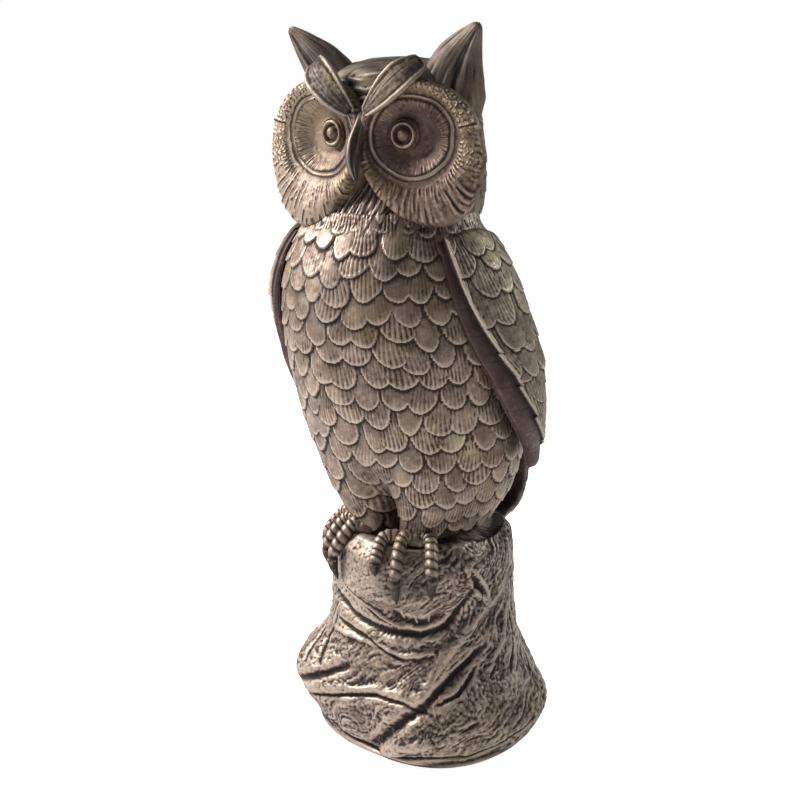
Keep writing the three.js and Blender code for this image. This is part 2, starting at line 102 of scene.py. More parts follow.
def along(values: Sequence[float], share: Array) -> Array:
    """Reads a smooth curve through evenly spaced values.

    Args:
        values: the stations.
        share: how far along to read, from 0 to 1.

    Returns:
        The curve's value at each share.
    """
    v = np.asarray(values, float)
    t = np.clip(share, 0.0, 1.0) * (len(v) - 1)
    i = np.minimum(t.astype(int), len(v) - 2)
    f = t - i
    before, after = v[np.maximum(i - 1, 0)], v[np.minimum(i + 2, len(v) - 1)]
    here, there = v[i], v[i + 1]
    bend = 2 * before - 5 * here + 4 * there - after
    twist = 3 * (here - there) + after - before
    return 0.5 * (2 * here + f * ((there - before) + f * (bend + f * twist)))


def around(values: Sequence[float], turn: Array) -> Array:
    """Reads a smooth closed curve through values that are evenly spaced round a full turn.

    Args:
        values: the stations, from 0 degrees on.
        turn: the angle in degrees.

    Returns:
        The curve's value at each angle.
    """
    ring = [values[-1], *values, values[0], values[1]]
    share = np.mod(turn, 360.0) / 360.0
    return along(ring, (1 + share * len(values)) / (len(ring) - 1))


class Noise:
    """Smooth seeded noise in space.

    Args:
        seed: which pattern it is.
    """

    SIZE = 48

    def __init__(self, seed: int) -> None:
        """Draws the lattice's values and its scattered centres.

        Args:
            seed: which pattern it is.
        """
        draw = np.random.default_rng(seed)
        self.lattice = draw.random((self.SIZE,) * 3) * 2 - 1
        self.jitter = draw.random((self.SIZE,) * 3 + (3,))

    def value(self, points: Array, size: float) -> Array:
        """Noise from -1 to 1 whose lumps are about size apart.

        Args:
            points: where to read it, with the coordinates last.
            size: how far apart its lumps are.

        Returns:
            The noise at each point.
        """
        q = points / size
        cell = np.floor(q).astype(int)
        f = q - cell
        f = f * f * (3 - 2 * f)
        total = np.zeros(q.shape[:-1])
        for corner in range(8):
            step = np.array([corner & 1, corner >> 1 & 1, corner >> 2 & 1])
            x, y, z = np.moveaxis((cell + step) % self.SIZE, -1, 0)
            total += self.lattice[x, y, z] * np.prod(np.where(step, f, 1 - f), axis=-1)
        return total

    def fractal(self, points: Array, size: float, octaves: int = 3) -> Array:
        """Noise with finer noise on it, each octave half as large and half as high."""
        return sum(self.value(points, size / 2**k) / 2**k for k in range(octaves))

    def ridges(self, points: Array, size: float, octaves: int = 3) -> Array:
        """Sharp crests, from 0 between them to 1 on them."""
        octave = (1 - 2 * np.abs(self.value(points, size / 2**k)) for k in range(octaves))
        return sum(o / 2**k for k, o in enumerate(octave)) / (2 - 2 ** (1 - octaves))

    def cells(self, points: Array, size: float) -> tuple[Array, Array]:
        """Distances to the nearest and second nearest of scattered centres, as shares of size.

        Args:
            points: where to read them, with the coordinates last.
            size: how far apart the centres are.

        Returns:
            The nearer distance and the further one at each point.
        """
        q = points / size
        cell = np.floor(q).astype(int)
        first = np.full(q.shape[:-1], 9.0)
        second = first.copy()
        for corner in range(27):
            step = np.array([corner % 3 - 1, corner // 3 % 3 - 1, corner // 9 - 1])
            x, y, z = np.moveaxis((cell + step) % self.SIZE, -1, 0)
            gap = np.linalg.norm(cell + step + self.jitter[x, y, z] - q, axis=-1)
            second = np.minimum(second, np.maximum(gap, first))
            first = np.minimum(first, gap)
        return first, second


@dataclass(frozen=True)
class Stroke:
    """A bent line drawn on a surface, as raised or carved by hand.

    Attributes:
        path: its points, across and up the surface, in millimetres.
        width: half its width, in millimetres.
        height: how far it stands out, in millimetres, or is cut in where it is negative.
        lee: how many times wider it is on its left-hand side than on its right.
    """

    path: tuple[tuple[float, float], ...]
    width: float
    height: float
    lee: float = 1.0

    def relief(self, across: Array, up: Array) -> Array:
        """How far the surface is moved out at each point, in metres.

        Args:
            across: the points' places across the surface, in the path's unit.
            up: their places up it, in millimetres.

        Returns:
            The move at each point, outwards where it is positive.
        """
        nearest = np.full(across.shape, 1e9)
        side = np.zeros(across.shape)
        progress = np.zeros(across.shape)
        legs = len(self.path) - 1
        for leg, ((x0, y0), (x1, y1)) in enumerate(zip(self.path, self.path[1:])):
            dx, dy = x1 - x0, y1 - y0
            share = np.clip(((across - x0) * dx + (up - y0) * dy) / (dx * dx + dy * dy), 0, 1)
            gap = np.hypot(across - x0 - share * dx, up - y0 - share * dy)
            closer = gap < nearest
            nearest = np.where(closer, gap, nearest)
            side = np.where(closer, dx * (up - y0) - dy * (across - x0), side)
            progress = np.where(closer, (leg + share) / legs, progress)
        width = np.where(side > 0, self.width * self.lee, self.width)
        taper = 0.25 + 0.75 * np.sqrt(np.clip(4 * progress * (1 - progress), 0, 1))
        return self.height * MM * taper * np.exp(-((nearest / width) ** 2))


# ---------------------------------------------------------------- Skins


def blurred(heights: Array, reach: tuple[int, int], wrap: bool = True) -> Array:
    """A sheet of heights softened by two box blurs each way.

    Args:
        heights: rows and columns of heights.
        reach: how many rows and columns each blur takes in on either side.
        wrap: whether the columns run on from the last to the first.

    Returns:
        The softened sheet.
    """
    out = heights
    for axis, cells in enumerate(reach):
        for _ in range(2):
            pad = [(0, 0), (0, 0)]
            pad[axis] = (cells + 1, cells)
            mode = "wrap" if axis == 1 and wrap else "edge"
            total = np.cumsum(np.pad(out, pad, mode=mode), axis=axis)
            n = out.shape[axis]
            low = np.take(total, range(n), axis=axis)
            high = np.take(total, range(2 * cells + 1, n + 2 * cells + 1), axis=axis)
            out = (high - low) / (2 * cells + 1)
    return out


@dataclass
class Skin:
    """A sheet of points wrapped into a closed skin, and the relief carved on it.

    Rows run up the form and columns run round it. The first and last columns meet in a seam, and the first
    and last rows each draw together in a pole.

    Attributes:
        base: the smooth form's points, by row and column.
        relief: how far each point is moved out along the form's normal.
        tone: how pale the surface is painted, from 0 through a plain 0.5 to 1: the paint's own tone, and
            painted highlights and shade in places.
        gilt: how gold the paint is, from 0 to 1.
    """

    base: Array
    relief: Array = field(init=False)
    tone: Array = field(init=False)
    gilt: Array = field(init=False)

    def __post_init__(self) -> None:
        """Starts with a smooth, plain skin."""
        self.relief = np.zeros(self.base.shape[:2])
        self.tone = np.full(self.base.shape[:2], 0.5)
        self.gilt = np.zeros(self.base.shape[:2])

    def normals(self) -> Array:
        """The smooth form's outward normals.

        Returns:
            A unit vector for each point of the form.
        """
        ring = self.base[:, :-1]
        across = np.roll(ring, -1, axis=1) - np.roll(ring, 1, axis=1)
        across = np.concatenate([across, across[:, :1]], axis=1)
        out = np.cross(across, np.gradient(self.base, axis=0))
        out /= np.linalg.norm(out, axis=-1, keepdims=True) + 1e-12
        middle = self.base.mean((0, 1))
        return out if (out * (self.base - middle)).sum() > 0 else -out

    def cell(self) -> tuple[float, float]:
        """The usual size of a cell, up and across.

        Returns:
            The median spacing of the rows and of the columns, in metres.
        """
        up = np.linalg.norm(np.diff(self.base, axis=0), axis=-1)
        across = np.linalg.norm(np.diff(self.base, axis=1), axis=-1)
        return float(np.median(up)), float(np.median(across))

    def carve(self, height: Array | float) -> None:
        """Adds to the relief."""
        self.relief = self.relief + height

    def prominence(self, reach: float, depth: float) -> Array:
        """How each point stands among its neighbours.

        Args:
            reach: how far off the neighbours are taken.
            depth: the step that counts as a full groove or edge.

        Returns:
            0 in a groove, 0.5 on the level and 1 on an edge.
        """
        reaches = tuple(max(1, round(reach / size)) for size in self.cell())
        level = blurred(self.relief, reaches)
        return np.clip(0.5 + 0.5 * (self.relief - level) / depth, 0, 1)

    def solid(self, name: str) -> bpy.types.Object:
        """Makes the carved skin a closed mesh object.

        Args:
            name: the piece's name.

        Returns:
            The linked object.
        """
        self.relief[0], self.relief[-1] = self.relief[0].mean(), self.relief[-1].mean()
        self.relief[:, -1] = self.relief[:, 0]
        points = self.base + self.normals() * self.relief[..., None]
        points[0], points[-1] = points[0].mean(0), points[-1].mean(0)
        points[:, -1] = points[:, 0]
        rows, columns = self.base.shape[:2]
        form = bmesh.new()
        bmesh.ops.create_grid(form, x_segments=columns - 1, y_segments=rows - 1, size=1.0)
        mesh = bpy.data.meshes.new(name)
        form.to_mesh(mesh)
        form.free()
        mesh.vertices.foreach_set("co", points.astype(np.float32).reshape(-1))
        layers = {
            WEAR_AND_SHADE: self.prominence(WEAR_REACH, WEAR_STEP),
            HOLLOW: self.prominence(HOLLOW_REACH, HOLLOW_STEP),
            TONE: np.clip(self.tone, 0, 1),
            GILT: np.clip(self.gilt, 0, 1),
        }
        for layer, values in layers.items():
            store = mesh.attributes.new(layer, "FLOAT", "POINT")
            store.data.foreach_set("value", values.astype(np.float32).reshape(-1))
        return linked(closed(mesh), name)


def closed(mesh: bpy.types.Mesh) -> bpy.types.Mesh:
    """Merges a mesh's seams and poles, and turns its faces out.

    Args:
        mesh: the wrapped sheet, which is changed in place.

    Returns:
        The same mesh.
    """
    form = bmesh.new()
    form.from_mesh(mesh)
    bmesh.ops.remove_doubles(form, verts=form.verts, dist=MERGE)
    bmesh.ops.dissolve_degenerate(form, edges=form.edges, dist=SLIVER)
    bmesh.ops.recalc_face_normals(form, faces=form.faces)
    for face in form.faces:
        face.smooth = True
    form.to_mesh(mesh)
    form.free()
    return mesh


def linked(mesh: bpy.types.Mesh, name: str) -> bpy.types.Object:
    """An object for a mesh, in the scene.

    Args:
        mesh: what the object shows.
        name: the object's name.

    Returns:
        The new object.
    """
    piece = bpy.data.objects.new(name, mesh)
    bpy.context.scene.collection.objects.link(piece)
    return piece


def column(
    rows: int,
    turns: Array,
    place: Callable[[Array, Array], Array],
    lift: Callable[[Array], Array] = lambda t: t,
) -> tuple[Skin, Array, Array]:
    """A closed upright form.

    Args:
        rows: how many rows of cells it has.
        turns: the angle of each column, in degrees.
        place: gives the skin's points from turns and shares of the height.
        lift: spaces the rows out over the height.

    Returns:
        The skin, and the turn and share of each of its points.
    """
    shares = np.clip(lift(np.linspace(0, 1, rows + 1)), 0, 1)
    reach = np.linspace(0, 1, CAP_ROWS + 1)[:-1]
    shares = np.concatenate([np.zeros(CAP_ROWS), shares, np.ones(CAP_ROWS)])
    reach = np.concatenate([reach, np.ones(rows + 1), reach[::-1]])
    turn, share = np.meshgrid(turns, shares)
    base = place(turn, share)
    middle = base[:, :-1].mean(axis=1, keepdims=True)
    return Skin(middle + (base - middle) * reach[:, None, None]), turn, share


def bar(
    path: Sequence[tuple[float, float, float]],
    size: Callable[[Array], tuple[Array, Array]],
    up: tuple[float, float, float],
    rows: int,
    columns: int,
    square: float = 1.0,
) -> tuple[Skin, Array, Array]:
    """A closed bar along a smooth path.

    Args:
        path: its middle line's points, in millimetres.
        size: gives half its width and half its height, in millimetres, from shares of its length.
        up: the way that its height points.
        rows: how many rows of cells run along it.
        columns: how many columns run round it.
        square: below 1, how square its section is.

    Returns:
        The skin, and the angle from its top and the share of its length at each of its points.
    """
    share = np.linspace(0, 1, rows + 1)
    middle = np.stack([along([p[k] for p in path], share) for k in range(3)], axis=-1)
    ahead = np.gradient(middle, axis=0)
    ahead /= np.linalg.norm(ahead, axis=-1, keepdims=True)
    high = np.array(up, float) - (ahead @ np.array(up, float))[:, None] * ahead
    high /= np.linalg.norm(high, axis=-1, keepdims=True)
    aside = np.cross(ahead, high)
    pick = np.concatenate([[0], np.arange(rows + 1), [rows]])
    angle, t = np.meshgrid(np.linspace(-180, 180, columns + 1), share[pick])
    s, c = np.sin(np.radians(angle)), np.cos(np.radians(angle))
    ends = np.sqrt(1 - (1 - np.clip(np.minimum(t, 1 - t) / END_SHARE, 0, 1)) ** 2)
    width, height = size(t)
    wide = (np.sign(s) * np.abs(s) ** square * width * ends)[..., None] * aside[pick][:, None]
    tall = (np.sign(c) * np.abs(c) ** square * height * ends)[..., None] * high[pick][:, None]
    return Skin((middle[pick][:, None] + wide + tall) * MM), angle, t


def spread_turns(count: int, front: float, gather: float) -> Array:
    """Angles round a full turn from behind, gathered on one side.

    Args:
        count: how many cells there are.
        front: the turn they gather at.
        gather: how strongly, from 0 for evenly.

    Returns:
        The angles in degrees, the last one a full turn on from the first.
    """
    even = np.linspace(-180, 180, count + 1)
    return front + even - gather * 180 / math.pi * np.sin(np.radians(even))


# ---------------------------------------------------------------- Feathers


@dataclass(frozen=True)
class Plumage:
    """Rows of overlapping feathers.

    Attributes:
        rows: the levels of the rows' tips, in millimetres.
        length: how long a feather is under its neighbours, in millimetres.
        width: a feather's width, as a share of the spacing in a row.
        rounded: how much of the length is the rounded tip, in millimetres.
        rise: how far a tip stands out, in millimetres.
        ribs: how many barbs fan out on each half.
        rib_depth: how deep they are cut, in millimetres.
        wander: how far a feather strays from its place, as a share of its spacing.
        count: how many feathers lie side by side before they repeat.
        seed: which pattern it is.
    """

    rows: tuple[float, ...]
    length: float = 24.0
    width: float = 1.12
    rounded: float = 8.0
    rise: float = 1.25
    ribs: float = 4.5
    rib_depth: float = 0.2
    wander: float = 0.16
    count: int = 64
    seed: int = 1

    def relief(self, across: Array, up: Array) -> Array:
        """The feathers' relief.

        Args:
            across: the place along the rows, in spacings.
            up: the level, in millimetres.

        Returns:
            How far each point stands out, in metres.
        """
        # a feather's own luck: level, place, slant, width, roundness and thickness
        luck = np.random.default_rng(self.seed).random((len(self.rows), self.count, 6)) - 0.5
        shape = across.shape
        across, up = across.reshape(-1), up.reshape(-1)
        top = np.full(across.shape, -0.1)
        detail = np.zeros(across.shape)
        for index, level in enumerate(self.rows):
            near = np.flatnonzero((up > level - 3) & (up < level + self.length + 3))
            x, y = across[near], up[near]
            offset = 0.5 * (index % 2)
            home = np.round(x - offset)
            for step in (-1, 0, 1):
                which = home + step
                own = luck[index, which.astype(int) % self.count]
                tip = level + own[:, 0] * 16 * self.wander
                middle = which + offset + own[:, 1] * self.wander * 1.4
                above = y - tip
                slant = own[:, 2] * 0.4 * above / self.length
                aside = (x - middle - slant) / (0.5 * self.width * (1 + 0.26 * own[:, 3]))
                round_share = np.clip(above / (self.rounded * (1 + 0.3 * own[:, 4])), 0, 1)
                half = np.sqrt(1 - (1 - round_share) ** 2)
                inside = np.clip((half - np.abs(aside)) / 0.1, 0, 1) * (above > 0)
                slope = np.clip(1 - above / self.length, 0, 1)
                lip = swell(half - np.abs(aside) - 0.14, 0.09) * np.clip(1.5 * slope - 0.4, 0, 1)
                height = inside * (0.12 + 0.88 * slope + 0.08 * own[:, 5]) * (1 - 0.26 * aside**2)
                height += 0.09 * inside * lip
                fan = aside / np.clip(1.1 - 0.75 * above / self.length, 0.3, None)
                rib = np.cos(2 * math.pi * self.ribs * fan + own[:, 1] * 9)
                rib *= slope**0.7 * (0.6 + own[:, 3]) * inside
                wins = height > top[near]
                won = near[wins]
                top[won] = height[wins]
                detail[won] = rib[wins]
        total = self.rise * top + self.rib_depth * detail
        return (total * MM).reshape(shape)


# ---------------------------------------------------------------- Finishes


class Tree:
    """Adds nodes to a material's or group's tree in one line each.

    Args:
        tree: the node tree.
    """

    def __init__(self, tree: bpy.types.NodeTree) -> None:
        """Keeps the tree that the nodes are added to."""
        self.tree = tree

    def add(self, kind: str, inputs: dict | None = None, **settings: object) -> bpy.types.Node:
        """Adds a node, with its settings, and values or links for its inputs.

        Args:
            kind: the node's type.
            inputs: socket name or number to value, or to the output that feeds it.
            **settings: the node's own settings.

        Returns:
            The node.
        """
        node = self.tree.nodes.new(kind)
        for name, value in settings.items():
            setattr(node, name, value)
        for socket, value in (inputs or {}).items():
            if isinstance(value, bpy.types.NodeSocket):
                self.tree.links.new(value, node.inputs[socket])
            else:
                node.inputs[socket].default_value = value
        return node

    def math(self, operation: str, a: object, b: object = 0.0) -> bpy.types.NodeSocket:
        """The result of a sum on two values."""
        return self.add("ShaderNodeMath", {0: a, 1: b}, operation=operation).outputs[0]

    def mix(self, share: object, a: object, b: object) -> bpy.types.NodeSocket:
        """A colour between two colours.

        Args:
            share: 0 for the first colour and 1 for the second, or what feeds it.
            a: the first colour, or what feeds it.
            b: the second colour, or what feeds it.

        Returns:
            The mixed colour.
        """
        node = self.add("ShaderNodeMix", data_type="RGBA")
        for socket, value in ((0, share), (6, a), (7, b)):
            if isinstance(value, bpy.types.NodeSocket):
                self.tree.links.new(value, node.inputs[socket])
            else:
                node.inputs[socket].default_value = value
        return node.outputs[2]

    def span(self, value: object, low: float, high: float, to: tuple = (0, 1)) -> bpy.types.NodeSocket:
        """A value carried from one span to another, and held inside it."""
        ends = {0: value, 1: low, 2: high, 3: to[0], 4: to[1]}
        return self.add("ShaderNodeMapRange", ends, interpolation_type="SMOOTHSTEP").outputs[0]

    def noise(self, place: object, scale: float, detail: float = 3.0) -> bpy.types.NodeSocket:
        """Noise on a place, from 0 to 1."""
        sockets = {"Vector": place, "Scale": scale, "Detail": detail}
        return self.add("ShaderNodeTexNoise", sockets).outputs[0]


def aged_group() -> bpy.types.NodeTree:
    """Builds the aged bronze effect: grime and painted shade in the grooves, painted shade in broad
    hollows, a painted highlight on broad swells, rubbed edges, patina and a fine grain.

    Returns:
        The node group, which puts out a colour, masks and a height.
    """
    group = bpy.data.node_groups.new("Aged bronze", "ShaderNodeTree")
    face = group.interface
    colours = ("Recess", "Ground", "Rubbed", "Patina", "Dusk")
    for name in colours:
        face.new_socket(name, in_out="INPUT", socket_type="NodeSocketColor")
    for name in ("Wear", "Hollow", "Tone", "Gilt", "Rub", "Patina Share", "Shine"):
        face.new_socket(name, in_out="INPUT", socket_type="NodeSocketFloat")
    face.new_socket("Color", in_out="OUTPUT", socket_type="NodeSocketColor")
    for name in ("Roughness", "Metallic", "Height"):
        face.new_socket(name, in_out="OUTPUT", socket_type="NodeSocketFloat")
    t = Tree(group)
    given = t.add("NodeGroupInput").outputs
    place = t.add("ShaderNodeTexCoord").outputs["Object"]
    broad = t.noise(place, 28, 4)
    patchy = t.noise(place, 90, 4)
    grain = t.noise(place, 900, 4)
    fine = t.noise(place, 2600, 2)
    mottle = t.math("MULTIPLY", t.math("SUBTRACT", patchy, 0.5), 0.55)
    # paint rubbed off edges shows in patches, and the grooves are darkened by grime and by painted shade
    level = t.math("ADD", given["Wear"], t.math("MULTIPLY", t.math("SUBTRACT", grain, 0.5), 0.5))
    level = t.math("ADD", level, mottle)
    rubbed = t.math("MULTIPLY", t.span(level, 0.5, 0.95), given["Rub"])
    groove = t.span(level, 0.46, 0.12)
    # painted shade in broad hollows, and a painted highlight on broad swells
    shade = t.span(given["Hollow"], 0.47, 0.1)
    light = t.math("MULTIPLY", t.span(given["Hollow"], 0.5, 0.9), 0.35)
    patina = t.math("MULTIPLY", t.span(broad, 0.52, 0.72), given["Patina Share"])
    patina = t.math("MAXIMUM", patina, t.math("MULTIPLY", t.span(patchy, 0.3, 0.55), given["Gilt"]))
    colour = t.mix(patina, given["Ground"], given["Patina"])
    colour = t.mix(t.math("MULTIPLY", t.span(patchy, 0.38, 0.7), 0.25), colour, given["Rubbed"])
    # the painted highlight on broad swells
    colour = t.mix(light, colour, given["Rubbed"])
    # the tone's pale and dusky parts, which hold painted highlights and shade besides the paint's own tone
    colour = t.mix(t.math("MULTIPLY", t.span(given["Tone"], 0.5, 1.0), 0.75), colour, given["Rubbed"])
    colour = t.mix(t.math("MULTIPLY", t.span(given["Tone"], 0.5, 0.0), 0.9), colour, given["Dusk"])
    colour = t.mix(rubbed, colour, given["Rubbed"])
    # the painted shade in broad hollows
    colour = t.mix(t.math("MULTIPLY", shade, 0.6), colour, given["Recess"])
    # grime and painted shade in the grooves
    colour = t.mix(t.math("MULTIPLY", groove, 0.88), colour, given["Recess"])
    speck = t.math("MULTIPLY", t.span(fine, 0.45, 0.25), 0.22)
    colour = t.mix(speck, colour, given["Recess"])
    rough = t.math("ADD", t.math("MULTIPLY", groove, 0.3), t.math("MULTIPLY", grain, 0.16))
    rough = t.math("SUBTRACT", t.math("ADD", rough, 0.52), given["Shine"])
    rough = t.math("SUBTRACT", rough, t.math("MULTIPLY", rubbed, 0.12))
    metal = t.math("SUBTRACT", 0.62, t.math("MULTIPLY", groove, 0.35))
    height = t.math("ADD", t.math("MULTIPLY", grain, 0.7), t.math("MULTIPLY", fine, 0.3))
    outputs = {"Color": colour, "Roughness": rough, "Metallic": metal, "Height": height}
    t.add("NodeGroupOutput", outputs)
    return group


@dataclass(frozen=True)
class AgedBronze:
    """A bronze-effect paint, rubbed back over a dark ground.

    Attributes:
        name: the material's name.
        recess: colour of the grime and painted shade in the grooves and hollows, and of the specks.
        ground: colour on the level.
        rubbed: colour on the rubbed edges, also taken for the pale tones and the painted highlights.
        patina: colour of the patches.
        dusk: colour of the dusky parts, both dark paint and painted shade.
        rub: how far the edges are rubbed, from 0 to 1.
        patina_share: how strong the patches are, from 0 to 1.
        shine: how much smoother than plain the surface is.
        grain: height of the cast grain, in metres.
    """

    name: str
    recess: tuple[float, float, float] = (0.02, 0.013, 0.011)
    ground: tuple[float, float, float] = (0.16, 0.11, 0.084)
    rubbed: tuple[float, float, float] = (0.52, 0.42, 0.345)
    patina: tuple[float, float, float] = (0.3, 0.235, 0.095)
    dusk: tuple[float, float, float] = (0.07, 0.038, 0.04)
    rub: float = 0.62
    patina_share: float = 0.35
    shine: float = 0.06
    grain: float = 0.14 * MM

    def material(self, effect: bpy.types.NodeTree) -> bpy.types.Material:
        """The finish as a material.

        Args:
            effect: the aged bronze node group.

        Returns:
            The material.
        """
        made = bpy.data.materials.new(self.name)
        made.use_nodes = True
        t = Tree(made.node_tree)
        shader = made.node_tree.nodes["Principled BSDF"]
        aged = t.add("ShaderNodeGroup", node_tree=effect)
        for socket in ("Recess", "Ground", "Rubbed", "Patina", "Dusk"):
            aged.inputs[socket].default_value = (*getattr(self, socket.lower()), 1.0)
        aged.inputs["Rub"].default_value = self.rub
        aged.inputs["Patina Share"].default_value = self.patina_share
        aged.inputs["Shine"].default_value = self.shine
        for socket, layer in (("Wear", WEAR_AND_SHADE), ("Hollow", HOLLOW), ("Tone", TONE), ("Gilt", GILT)):
            read = t.add("ShaderNodeAttribute", attribute_name=layer)
            made.node_tree.links.new(read.outputs["Fac"], aged.inputs[socket])
        bump = t.add("ShaderNodeBump", {"Height": aged.outputs["Height"]})
        bump.inputs["Strength"].default_value = 1.0
        bump.inputs["Distance"].default_value = self.grain
        for output, socket in (("Color", "Base Color"), ("Roughness",) * 2, ("Metallic",) * 2):
            made.node_tree.links.new(aged.outputs[output], shader.inputs[socket])
        made.node_tree.links.new(bump.outputs["Normal"], shader.inputs["Normal"])
        return made


@dataclass(frozen=True)
class Stuff:
    """A plain material with a fine grain, for the pieces inside and underneath.

    Attributes:
        name: the material's name.
        colour: its colour.
        roughness: how rough it is.
        metallic: 1 for a metal.
        scale: how fine its grain is.
        grain: the grain's height, in metres.
    """

    name: str
    colour: tuple[float, float, float]
    roughness: float
    metallic: float = 0.0
    scale: float = 700.0
    grain: float = 0.1 * MM

    def material(self, effect: bpy.types.NodeTree | None = None) -> bpy.types.Material:
        """The material. It doesn't use the aged bronze effect.

        Args:
            effect: the aged bronze node group, which is left out.

        Returns:
            The material.
        """
        made = bpy.data.materials.new(self.name)
        made.use_nodes = True
        t = Tree(made.node_tree)
        shader = made.node_tree.nodes["Principled BSDF"]
        grain = t.noise(t.add("ShaderNodeTexCoord").outputs["Object"], self.scale)
        dark = tuple(0.6 * part for part in self.colour)
        tint = t.mix(grain, (*dark, 1.0), (*self.colour, 1.0))
        bump = t.add("ShaderNodeBump", {"Height": grain, "Distance": self.grain})
        made.node_tree.links.new(tint, shader.inputs["Base Color"])
        made.node_tree.links.new(bump.outputs["Normal"], shader.inputs["Normal"])
        shader.inputs["Roughness"].default_value = self.roughness
        shader.inputs["Metallic"].default_value = self.metallic
        return made


class Finish(Enum):
    """The finishes that the owl's pieces take."""

    FOAM = Stuff("Foam", (0.75, 0.7, 0.5), 0.95, scale=500, grain=0.4 * MM)
    PLASTER = Stuff("Ballast plaster", (0.62, 0.6, 0.56), 0.9)
    STEEL = Stuff("Brushed steel", (0.6, 0.6, 0.6), 0.35, 1.0, 1500, 0.02 * MM)
    RUBBER = Stuff("Base rubber", (0.03, 0.03, 0.03), 0.75, scale=1200)
    FELT = Stuff("Felt", (0.05, 0.09, 0.06), 0.98, scale=1600, grain=0.3 * MM)

    PLUMAGE = AgedBronze("Plumage bronze")
    FACE = AgedBronze(
        "Face bronze", ground=(0.142, 0.09, 0.067), rubbed=(0.46, 0.355, 0.275), shine=0.02, rub=0.58
    )
    CREST = AgedBronze(
        "Crest bronze", ground=(0.108, 0.084, 0.068), rubbed=(0.33, 0.27, 0.218), rub=0.55, shine=-0.04
    )
    DARK = AgedBronze("Dark bronze", ground=(0.06, 0.04, 0.035), rub=0.75, shine=0.12, patina_share=0.15)
    CLAW = AgedBronze(
        "Claw bronze", ground=(0.12, 0.085, 0.068), dusk=(0.035, 0.026, 0.02), rub=0.7, shine=0.04
    )
    BARK = AgedBronze("Bark bronze", ground=(0.165, 0.12, 0.098), rub=0.7, patina_share=0.4, shine=0.02)


class Dresser:
    """Makes each finish once and puts it on pieces.

    Args:
        axis: the stump's middle line in the frame, from which the pieces are measured.
    """

    def __init__(self, axis: tuple[float, float]) -> None:
        """Builds the shared effect.

        Args:
            axis: the stump's middle line in the frame.
        """
        self.axis = axis
        self.effect = aged_group()
        self.made: dict[Finish, bpy.types.Material] = {}

    def material(self, finish: Finish) -> bpy.types.Material:
        """The finish's material, made on first use.

        Args:
            finish: which finish.

        Returns:
            Its one material.
        """
        if finish not in self.made:
            self.made[finish] = finish.value.material(self.effect)
        return self.made[finish]

    def dress(self, piece: bpy.types.Object, finish: Finish, slot: str, *nodes: str) -> None:
        """Gives a piece its finish and its place in the frame.

        Args:
            piece: the finished piece.
            finish: what it is painted with.
            slot: the record's slot that it stands for; not used.
            *nodes: the frame's nodes that it replaces.
        """
        piece.data.materials.append(self.material(finish))
        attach(piece, "root")
        piece.data.transform(Matrix.Translation((*self.axis, 0)))
        if nodes:
            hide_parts(*nodes)
        log.info("%s: %d faces", piece.name, len(piece.data.polygons))

    def paint_kept(self, kept: dict[str, Finish]) -> None:
        """Paints the frame's own inner pieces, which stay as they are.

        Args:
            kept: start of each node's name to its finish.
        """
        for piece in bpy.data.objects:
            for start, finish in kept.items():
                if piece.type == "MESH" and piece.name.startswith(start):
                    piece.data.materials.clear()
                    piece.data.materials.append(self.material(finish))


# ---------------------------------------------------------------- Body


